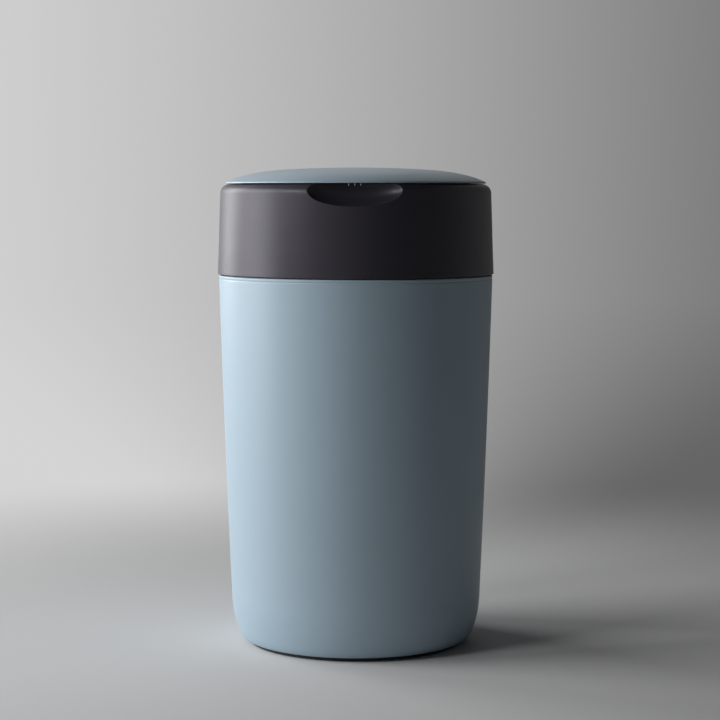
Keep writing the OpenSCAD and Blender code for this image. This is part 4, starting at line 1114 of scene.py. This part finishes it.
class NAPPYBIN_OT_lid(Builder, bpy.types.Operator):
    """Lid with its ribs, hinge arm, liner and seal"""

    bl_idname = "nappybin.lid"
    bl_label = "Lid"

    def build(self, s):
        lip_z = COLLAR_Z1 + s.lid_gap
        rise = APEX_Z - lip_z - s.lip_h
        seat_in, seat_out, slot = 97.6, 101.6, "lid_plastic"

        def dome(r, drop=0.0):
            q = r / s.lid_r
            return APEX_Z - drop - s.dome_square * q**2 - (rise - s.dome_square) * q**6

        outer = [(r, dome(r)) for r in s.lid_r * np.sin(np.linspace(0, math.pi / 2 * 0.93, 40))]
        edge = [outer[-1], (s.lid_r, dome(s.lid_r), 1.1), (s.lid_r, lip_z, 0.4), (110.6, lip_z)]
        inner = [(r, dome(r, s.lid_wall)) for r in (110.5, 108, 105, 103, seat_out)]
        inner += [(seat_out, SEAL_TOP), (seat_in, SEAL_TOP)]
        inner += [(r, dome(r, s.lid_wall)) for r in np.linspace(seat_in, 0, 24)]
        outline = outer + rounded(edge)[1:-1] + inner
        piece = turned("lid_shell_finished", outline, slot, 300, exact=False)
        y, rib_z = 1 - s.lid_r, (lip_z - 2.3, lip_z + 0.5)
        for x in (-5, 0, 5):
            rib = block(y, rib_z[0], y + 2.4, rib_z[1], 0.5, 0.9, 0, 0)
            fuse(piece, ear("rib", x, 0.35, rib, slot, 0.2))
        arm = [(HINGE_Y - 6.5, HINGE_Z + 2.5), (HINGE_Y - 5.0, HINGE_Z), (HINGE_Y, HINGE_Z - 2.8),
               (HINGE_Y + 2.2, HINGE_Z), (HINGE_Y + 1.6, lip_z + 1.0), (HINGE_Y - 6.5, lip_z + 2.5)]
        barrel = arc((HINGE_Y, HINGE_Z), 3.6, 0, 345, 23)
        fuse(piece, ear("barrel", 0, 13.6, barrel, slot, 0.4), ear("arm", 0, 12.6, rounded(arm), slot, 0.4))
        true_normals(piece, outline)
        place(piece, "lid", "lid_shell")
        self.liner()
        seal = block(seat_in + 0.45, SEAL_TOP - 1.5, seat_out - 0.15, SEAL_TOP, 0.5, 0.5, 0.3, 0.3)
        place(turned("lid_seal_finished", seal, "seal_rubber", 240), "lid", "lid_seal")

    def liner(self):
        """Flat pan under the dome, with four sunk seats for its screws."""
        z, rim_z, out_r, in_r, wall = low("lid_liner").z, SEAL_TOP - 0.3, 94, 92, 2
        outline = rounded([
            (0, z), (out_r, z, 2.6), (out_r, rim_z, 0.5), (in_r, rim_z, 0.5), (in_r, z + wall, 1.2),
            (0, z + wall)])
        piece = turned("lid_liner_finished", outline, "drum_plastic", 240, exact=False)
        for turn in (math.radians(45 + 90 * k) for k in range(4)):
            seat = sunk(4.6, z - 1, z + 1.02, "drum_plastic", 48, exact=True)
            at = Vector((70 * math.cos(turn), 70 * math.sin(turn), 0))
            seat.data.transform(Matrix.Translation(at * MM))
            carve(piece, seat)
        true_normals(piece, outline)
        place(piece, "lid", "lid_liner")


class NAPPYBIN_OT_buttons(Builder, bpy.types.Operator):
    """Release buttons: a dished face that follows the collar, stems, an arm and a hooked nose"""

    bl_idname = "nappybin.buttons"
    bl_label = "Release buttons"

    def build(self, s):
        def radius_at(z):
            return flat_side(z, s)

        def dish(u, v):
            return 0.9 * max(0, 1 - (u / 0.82) ** 2) * max(0, 1 - (v / 0.78) ** 2)

        z0, z1 = BUTTON_Z
        edge, proud_gap, face_t, half, slot = 0.7, 0.02, 2.4, 10, "button_plastic"
        levels = [(edge * (1 - math.sin(a)), proud_gap + edge * (1 - math.cos(a)))
                  for a in np.linspace(0, math.pi / 2, 5)] + [(0, face_t), (0.3, face_t + 0.3)]
        arm_x = low("release_button_right").x
        parts = [(arm_x + 2.5, z, COLLAR_R - s.draft - 1.6, z + 3) for z in (z0 + 2, z1 - 7)]
        parts.append((arm_x, NOSE_Z, arm_x + 3, z1 - 3))
        for side, facing, sign in (("right", 0, 1), ("left", math.pi, -1)):
            node = "release_button_" + side
            face = block(-14, z0, 14, z1, 2)
            piece = plate(node + "_finished", face, facing, radius_at, levels, slot, dish)
            for near, z_low, far, z_high in parts:
                x0, x1 = sorted((sign * near, sign * far))
                fuse(piece, rounded_box("stem", (x0, -half, z_low), (x1, half, z_high), slot))
            place(piece, "button_" + side, node)


def screw(name, slot, z_head, z_face, head_r, z_tip):
    """Countersunk screw on the vertical axis, with a cross recess in its face."""
    way = 1 if z_face > z_head else -1
    shank_r, arm, half, deep, edge = 1.5, head_r * 0.62, head_r * 0.13, 0.75, 0.1
    ends = rounded([(0, z_tip), (shank_r, z_tip, 0.5), (shank_r, z_head), (head_r, z_head, 0.2),
                    (head_r, z_face, 0.45), (0, z_face)])
    piece = turned(name, ends, slot, 40, exact=False)
    z0, z1 = sorted((z_face - way * abs(z_face - z_head) * deep, z_face + way))
    bars = [rounded_box("cross", (-x, -y, z0), (x, y, z1), slot, edge, edge)
            for x, y in ((arm, half), (half, arm))]
    carve(piece, fuse(*bars))
    return smooth(piece, SHARP)


def out_to(piece, radius):
    """Moves a piece's mesh out along X, ready for a ring."""
    piece.data.transform(Matrix.Translation((radius * MM, 0, 0)))
    return piece


def pin_x(node, body, radius):
    """Hinge pin along X with chamfered ends, in the place that the frame gives."""
    a, b = low(node), high(node)
    half, chamfer = (b.x - a.x) / 2, 0.5
    outline = [(0, -half), (radius - chamfer, -half), (radius, chamfer - half), (radius, half - chamfer),
               (radius - chamfer, half), (0, half)]
    piece = turned(node + "_finished", outline, "pin_steel", 48)
    middle = (a + b) / 2 * MM
    piece.data.transform(Matrix.Translation(middle) @ Matrix.Rotation(math.pi / 2, 4, "Y"))
    return place(piece, body, node)


class NAPPYBIN_OT_pins(Builder, bpy.types.Operator):
    """Hinge pins of the head and of the lid, and the pins of the pawls"""

    bl_idname = "nappybin.pins"
    bl_label = "Pins"

    def build(self, s):
        pin_x("head_hinge_pin", "tub", 2.0)
        pin_x("lid_hinge_pin", "head", 1.5)
        dressed("pawl_pins", "head", "pin_steel", 0.25)


class NAPPYBIN_OT_chassis(Builder, bpy.types.Operator):
    """Head chassis with its seal, its glide ring and the mouldings under it"""

    bl_idname = "nappybin.chassis"
    bl_label = "Chassis"

    def build(self, s):
        dressed("head_chassis", "head", "chassis_plastic", 0.35)
        dressed("head_seal", "head", "seal_rubber", 0.3)
        a, b = low("glide_ring"), high("glide_ring")
        glide = block(b.x - 6.5, a.z, b.x, b.z, 0.4)
        place(turned("glide_ring_finished", glide, "glide_plastic"), "head", "glide_ring")
        self.fins()
        self.retainer()

    def fins(self):
        """Rubber disc cut into petals that droop a little towards the middle."""
        count, hole_r, slit_r, slit, droop, taper, sag = 12, 20.0, 58.0, 1.0, 2.4, 0.35, 0.25
        disc_r, z0, z1 = high("fin_disc").x, low("fin_disc").z, high("fin_disc").z
        rows = list(np.linspace(hole_r, slit_r, 16)) + [slit_r + 0.8, 62, 66, 70, disc_r]
        columns = 12
        points = []
        for face in (0, 1):
            for r in rows:
                half = math.pi / count - (math.asin(slit / 2 / r) if r <= slit_r else 0)
                t = max(0, (slit_r - r) / (slit_r - hole_r))
                for k in range(columns + 1):
                    a = half * (2 * k / columns - 1)
                    drop, thin = droop * t**1.6 * (1 - sag * (a / half) ** 2), taper * t
                    z = (z1 - drop - thin) if face else (z0 - drop + thin)
                    points.append((r * math.cos(a), r * math.sin(a), z))
        n, m = columns + 1, len(rows)
        upper = m * n
        faces = []
        for j in range(m - 1):
            for a in range(j * n, j * n + columns):
                quad = (a, a + 1, a + n + 1, a + n)
                faces += [quad[::-1], tuple(v + upper for v in quad)]
            if rows[j] < slit_r:
                faces += [(a, a + n, a + n + upper, a + upper) for a in (j * n, j * n + columns)]
        for j in (0, m - 1):
            faces += [(a, a + 1, a + 1 + upper, a + upper) for a in range(j * n, j * n + columns)]
        piece = new_piece("fin_disc_finished", mesh_of("fin", points, faces), "fin_rubber")
        ring_of(piece, count, "fin_rubber", math.pi / count)
        with editing(piece.data) as bm:
            bmesh.ops.remove_doubles(bm, verts=bm.verts, dist=0.005 * MM)
            bmesh.ops.holes_fill(bm, edges=[e for e in bm.edges if e.is_boundary], sides=8)
            bmesh.ops.recalc_face_normals(bm, faces=bm.faces)
        place(smooth(settle(soften(piece, 0.22, 50))), "head", "fin_disc")

    def retainer(self):
        """Flat ring with a raised inner part that clamps the fins, and six sunk seats."""
        a, b = low("fin_retainer"), high("fin_retainer")
        flange_r, in_r, seat_z, step_r = b.x, b.x - 19.0, a.z + 2.2, b.x - 4.1
        outline = rounded([
            (in_r, a.z, 1.2), (flange_r, a.z, 0.6), (flange_r, seat_z, 0.5), (step_r, seat_z, 0.3),
            (step_r, b.z, 0.3), (in_r, b.z, 0.3)])
        piece = turned("fin_retainer_finished", outline, "chassis_plastic", 240, exact=False)
        seat = sunk(3.1, a.z - 2, a.z + 1.75, "chassis_plastic")
        carve(piece, ring_of(out_to(seat, in_r + 7.5), 6, "chassis_plastic"))
        true_normals(piece, outline)
        place(piece, "head", "fin_retainer")


class NAPPYBIN_OT_twist(Builder, bpy.types.Operator):
    """Drum, twist rim and the cassette with its film"""

    bl_idname = "nappybin.twist"
    bl_label = "Twist drum and cassette"

    def build(self, s):
        dressed("drum", "twist_drum", "drum_plastic", 0.3)
        self.rim()
        self.cassette()

    def rim(self):
        """Flat rim with a ribbed grip to turn by, and six sunk seats."""
        a, b, slot = low("twist_rim"), high("twist_rim"), "twist_plastic"
        in_r, plate_z, ribs, rib_r = b.x - 13.1, a.z + 2.4, 36, 1.2
        grip_r = in_r + 2.2
        outline = rounded([(in_r, a.z, 0.3), (b.x, a.z, 0.4), (b.x, plate_z, 0.7), (grip_r, plate_z, 1.0),
                           (grip_r, b.z, 0.9), (in_r, b.z, 0.9)])
        piece = turned("twist_rim_finished", outline, slot, 288, exact=False)
        rib = turned("rib", block(0, a.z + 1, rib_r, b.z - 2, 0, 0, 1.0, 0), slot, 20, exact=False)
        fuse(piece, ring_of(out_to(rib, grip_r), ribs, slot, math.pi / ribs))
        seat = sunk(2.55, a.z + 1.2, b.z, slot)
        carve(piece, ring_of(out_to(seat, b.x - 6.4), 6, slot))
        true_normals(piece, outline)
        place(piece, "twist_drum", "twist_rim")

    def cassette(self):
        """Tray with the throat's sleeve, and the cap over the film."""
        a, b = low("cassette_tray"), high("cassette_tray")
        c, d = low("cassette_cap"), high("cassette_cap")
        wall, sleeve_r = 1.8, b.x - 21.9
        throat_r, in_r, floor_z = sleeve_r - wall, b.x - wall, a.z + wall
        tray = rounded([
            (throat_r, a.z, 0.5), (b.x, a.z, 1.2), (b.x, c.z, 0.3), (in_r, c.z, 0.3), (in_r, floor_z, 1),
            (sleeve_r, floor_z, 1), (sleeve_r, b.z, 0.85), (throat_r, b.z, 0.85)])
        mouth_r, plate_z, lip_r, lip_in = sleeve_r + 4.2, c.z + 2, d.x - wall, d.x - 2 * wall
        cap = rounded([
            (mouth_r, c.z, 0.4), (d.x, c.z, 0.3), (d.x, plate_z, 0.9), (lip_r, plate_z, 0.5),
            (lip_r, d.z, 0.8), (lip_in, d.z, 0.8), (lip_in, plate_z, 0.8), (mouth_r, plate_z, 0.9)])
        for node, outline in (("cassette_tray", tray), ("cassette_cap", cap)):
            place(turned(node + "_finished", outline, "cassette_plastic", 240), "twist_drum", node)
        self.film(sleeve_r)

    def film(self, sleeve_r):
        """Pleated pack, and the film drawn over the sleeve in loose folds."""
        a, b = low("film_pack"), high("film_pack")
        pleats, steps, depth = 16, 6, 0.9
        step = (b.z - a.z) / pleats
        out_r, in_r = b.x - depth, sleeve_r + depth + 1.2

        def wave(r, sign):
            return [(r + sign * depth * (0.5 - 0.5 * math.cos(TURN * k / steps)), a.z + step * k / steps)
                    for k in range(steps * pleats + 1)]

        pack = turned("film_pack_finished", wave(out_r, 1) + wave(in_r, -1)[::-1], "film", 160, exact=False)
        place(crumpled(pack, 0.25, 160.0, 3.0), "twist_drum", "film_pack")
        film_t, rest, sleeve_t = 0.3, 0.55, 1.8
        throat_r, slot_r = sleeve_r - sleeve_t - rest, sleeve_r + rest
        bend_z = high("cassette_tray").z + rest - 1
        skin = [(throat_r, z) for z in np.linspace(low("film_liner").z, bend_z, 34)]
        skin += arc(((throat_r + slot_r) / 2, bend_z), (slot_r - throat_r) / 2, 180, 0, 10)[1:-1]
        skin += [(slot_r, z) for z in np.linspace(bend_z, b.z - 2, 6)]
        p = np.array(skin)
        along = np.gradient(p, axis=0)
        along /= np.hypot(*along.T)[:, None]
        off = p + np.stack([-along[:, 1], along[:, 0]], 1) * film_t
        outline = [*map(tuple, p), *map(tuple, off[::-1])]
        liner = turned("film_liner_finished", outline, "film", 300, exact=False)
        place(crumpled(liner, 0.55, 330.0, 0.12), "twist_drum", "film_liner")


class NAPPYBIN_OT_cutter(Builder, bpy.types.Operator):
    """Cutter ring with its blade and its fluted knob"""

    bl_idname = "nappybin.cutter"
    bl_label = "Cutter"

    def build(self, s):
        dressed("cutter_ring", "cutter", "twist_plastic", 0.5, 3)
        dressed("cutter_blade", "cutter", "blade_steel", 0.12)
        a, b = low("cutter_knob"), high("cutter_knob")
        middle, radius, steps, flutes, flute_r, flute_at = (a + b) / 2, (b.y - a.y) / 2, 144, 8, 1.8, 8.0
        outline = []
        for turn in (TURN * k / steps for k in range(steps)):
            near = (turn + math.pi / flutes) % (TURN / flutes) - math.pi / flutes
            reach = flute_r**2 - (flute_at * math.sin(near)) ** 2
            r = min(radius, flute_at * math.cos(near) - math.sqrt(reach)) if reach > 0 else radius
            outline.append((middle.x + r * math.cos(turn), middle.y + r * math.sin(turn)))
        knob = extruded("cutter_knob_finished", outline, a.z, b.z, "button_plastic", 0.7)
        place(knob, "cutter", "cutter_knob")


class NAPPYBIN_OT_pawls(Builder, bpy.types.Operator):
    """Pawls of the ratchet with their torsion springs"""

    bl_idname = "nappybin.pawls"
    bl_label = "Pawls"

    def build(self, s):
        at_r, at_turn, slot = 99.96, math.radians(13), "spring_steel"
        pivot = Vector((at_r * math.cos(at_turn), -at_r * math.sin(at_turn), 0))
        wire, coil_r, coil_l, turns, leg_from, leg_to, leg_turn = 0.4, 2.2, 2.0, 3.0, 1.9, 14.3, 115
        for name, turn in (("a", 36), ("b", 216)):
            dressed("ratchet_pawl_" + name, "pawl_" + name, "pawl_plastic", 0.35)
            node = "pawl_spring_" + name
            coil = new_piece(node + "_finished", mesh_of("coil", [(0, 0, 0)], []), slot)
            shape_with(coil, tree("coil"), slot, Turns=turns, Radius=coil_r * MM, Wire=wire * MM,
                       Length=coil_l * MM)
            leg = rounded_box("leg", (leg_from, -wire, 0), (leg_to, wire, 2 * wire), slot, 0.35, 0.38)
            leg.data.transform(Matrix.Rotation(math.radians(leg_turn), 4, "Z"))
            coil.data.transform(Matrix.Translation((0, 0, wire * MM)))
            join(coil, leg)
            there = Matrix.Translation((pivot + Vector((0, 0, low(node).z))) * MM)
            coil.data.transform(Matrix.Rotation(math.radians(turn), 4, "Z") @ there)
            place(smooth(coil, 50), "pawl_" + name, node)


class NAPPYBIN_OT_screws(Builder, bpy.types.Operator):
    """Screws of the chassis, the twist rim, the fin retainer and the lid"""

    bl_idname = "nappybin.screws"
    bl_label = "Screws"

    def build(self, s):
        turn, slot = math.radians(45), "screw_steel"
        for node, body, count, first, at_r, head_r, head_t, up in (
            ("chassis_screws", "head", 4, turn, 105.0, 3.0, 1.8, False),
            ("rim_screws", "twist_drum", 6, 0.0, 83.0, 2.4, 1.1, True),
            ("retainer_screws", "head", 6, 0.0, 67.5, 3.0, 1.8, False),
            ("lid_screws", "lid", 4, turn, 70.0, 3.0, 1.0, False),
        ):
            a, b = low(node), high(node)
            face, tip = (b.z, a.z) if up else (a.z, b.z)
            head = face + (-head_t if up else head_t)
            piece = screw(node + "_finished", slot, head, face, head_r, tip)
            ring_of(out_to(piece, at_r), count, slot, first)
            if node == "chassis_screws":
                front = screw("front", slot, head, face, head_r, tip)
                join(piece, ring_of(out_to(front, at_r), 1, slot, -math.pi / 2))
            place(piece, body, node)


class NAPPYBIN_OT_stage(Builder, bpy.types.Operator):
    """Floor and backdrop, soft lamps and the camera"""

    bl_idname = "nappybin.stage"
    bl_label = "Stage"

    def build(self, s):
        scene = bpy.context.scene
        stage = scene.bin_stage
        self.floor(stage)
        for name, at, size, power in (
            ("Window", (-2.5, -0.1, 0.95), (1.6, 1.8), 19.0),
            ("Window edge", (-0.95, -0.75, 0.8), (0.35, 0.35), 1.3),
            ("Left back", (-1.8, 1.3, 0.8), (1.0, 1.2), 7.0),
            ("Back", (0.2, 2.3, 1.6), (1.6, 1.2), 0.5),
        ):
            self.lamp(name, at, size, power)
        world = bpy.data.worlds.new("Soft room")
        world.use_nodes = True
        sky = world.node_tree.nodes["Background"].inputs
        sky["Color"].default_value, sky["Strength"].default_value = (0.75, 0.78, 0.82, 1), 0.004
        scene.world = world
        scene.view_settings.view_transform = "Standard"
        camera = self.add("Camera", bpy.data.cameras.new("Camera"))
        camera.data.lens = stage.lens
        camera.data.sensor_width = 36
        camera.data.clip_start = 0.05
        camera.location = (stage.aside, -stage.away, stage.height)
        camera.rotation_euler = (math.pi / 2 - stage.tilt, 0, stage.yaw)
        scene.camera = camera

    def add(self, name, data):
        thing = bpy.data.objects.new(name, data)
        bpy.context.scene.collection.objects.link(thing)
        return thing

    def floor(self, stage):
        """Round paper floor that bends up into a wall, so that every view ends in paper."""
        middle_r, flat_r, bend_r, wall_top, sides = 0.6, 6.0, 2.0, 9.0, 96
        line = [(middle_r, 0.0)]
        line += [(flat_r + bend_r * math.sin(a), bend_r * (1 - math.cos(a)))
                 for a in np.linspace(0, math.pi / 2, 17)]
        line.append((flat_r + bend_r, wall_top))
        around = [(math.cos(a), math.sin(a)) for a in np.arange(sides) * 2 * math.pi / sides]
        points = [(0, 0, 0)] + [(r * c / MM, r * d / MM, z / MM) for r, z in line for c, d in around]
        faces = [(0, 1 + i, 1 + (i + 1) % sides) for i in range(sides)]
        faces += [(1 + a, 1 + d, 1 + c, 1 + b) for a, b, c, d in bands(len(line), sides)]
        mesh = mesh_of("floor", points, faces)
        mesh.shade_smooth()
        mesh.materials.append(self.paper(stage))
        self.add("floor", mesh)

    def paper(self, stage):
        """Pale paper that takes the shadow near the bin; further out, camera and glossy rays see a glow with
        a painted shadow fan and painted shade in front, which also shows in the bin as a painted reflection.
        """
        near, far = 350, 1100
        paper = Surface("Pale floor", stage.floor, 0.75)
        x, y, _ = paper.axes()
        out = (x * x + y * y).math("SQRT")
        side, depth = x / out, y / out
        # Painted shadow: the glow darkens towards the right like a cast shadow fan, and is halved in front of
        # the bin, which sets the painted reflection in the bin's front.
        shade = 0.66 - side.between(-0.35, 0.4) * 0.53 + side.between(0.5, 1.0) * 0.08
        shade = shade * (depth.between(-0.6, 0.2) * 0.5 + 0.5)
        # Camera, glossy and transmission rays see the glow, so the bin shows its painted shade as a painted
        # reflection.
        path = paper.node("ShaderNodeLightPath").out.node.outputs
        seen = Socket(paper, path["Is Camera Ray"])
        for ray in ("Is Glossy Ray", "Is Transmission Ray"):
            seen = seen.math("MAXIMUM", Socket(paper, path[ray]))
        painted_shade_glow = paper.node("ShaderNodeEmission", inputs={"Strength": shade})
        lit = Socket(paper, paper.shader.outputs[0])
        mixed = paper.node("ShaderNodeMixShader", inputs={0: out.between(near, far) * seen, 1: lit, 2: painted_shade_glow})
        paper.feed(paper.tree.nodes["Material Output"].inputs["Surface"], mixed)
        paper.material.cycles.emission_sampling = "NONE"
        return paper.material

    def lamp(self, name, at, size, power):
        """Soft lamp that shines on the middle of the bin."""
        light = bpy.data.lights.new(name, "AREA")
        light.shape = "RECTANGLE"
        light.size, light.size_y = size
        light.spread = math.radians(100)
        light.energy = power
        lamp = self.add(name, light)
        lamp.location = at
        lamp.rotation_euler = (Vector((0, 0, 0.25)) - Vector(at)).to_track_quat("-Z", "Y").to_euler()


class NAPPYBIN_PT_panel(bpy.types.Panel):
    """Sizes, colours and buttons for the nappy bin"""

    bl_idname = "NAPPYBIN_PT_panel"
    bl_label = "Nappy bin"
    bl_space_type = "VIEW_3D"
    bl_region_type = "UI"
    bl_category = "Nappy bin"

    def draw(self, context):
        for group in (context.scene.bin_sizes, context.scene.bin_finish, context.scene.bin_stage):
            for key in group.bl_rna.properties.keys()[2:]:
                self.layout.prop(group, key)
        for step in STEPS:
            self.layout.operator(step.bl_idname)


STEPS = (
    NAPPYBIN_OT_tub, NAPPYBIN_OT_collar, NAPPYBIN_OT_lid, NAPPYBIN_OT_buttons, NAPPYBIN_OT_pins,
    NAPPYBIN_OT_chassis, NAPPYBIN_OT_twist, NAPPYBIN_OT_cutter, NAPPYBIN_OT_pawls, NAPPYBIN_OT_screws,
    NAPPYBIN_OT_stage,
)
GROUPS = {"bin_sizes": BinSizes, "bin_finish": BinFinish, "bin_stage": BinStage}


def register():
    """Registers the settings, the operators and the panel."""
    for kind in (*GROUPS.values(), *STEPS, NAPPYBIN_PT_panel):
        bpy.utils.register_class(kind)
    for key, kind in GROUPS.items():
        setattr(bpy.types.Scene, key, bpy.props.PointerProperty(type=kind))


def unregister():
    """Takes the panel, the operators and the settings away again."""
    for key in GROUPS:
        delattr(bpy.types.Scene, key)
    for kind in (NAPPYBIN_PT_panel, *reversed(STEPS), *GROUPS.values()):
        bpy.utils.unregister_class(kind)


def finish_plain_nodes():
    """Gives the nodes that keep their own mesh the material of their slot."""
    slots = {part["node"]: part["material_slot"] for part in frame["record"]["subparts"]}
    for node, mesh in frame["nodes"].items():
        mesh.data.materials.clear()
        mesh.data.materials.append(material(slots[node]))


def main():
    register()
    for step in STEPS:
        group, name = step.bl_idname.split(".")
        getattr(getattr(bpy.ops, group), name)()
    finish_plain_nodes()


if __name__ == "__main__":
    main()
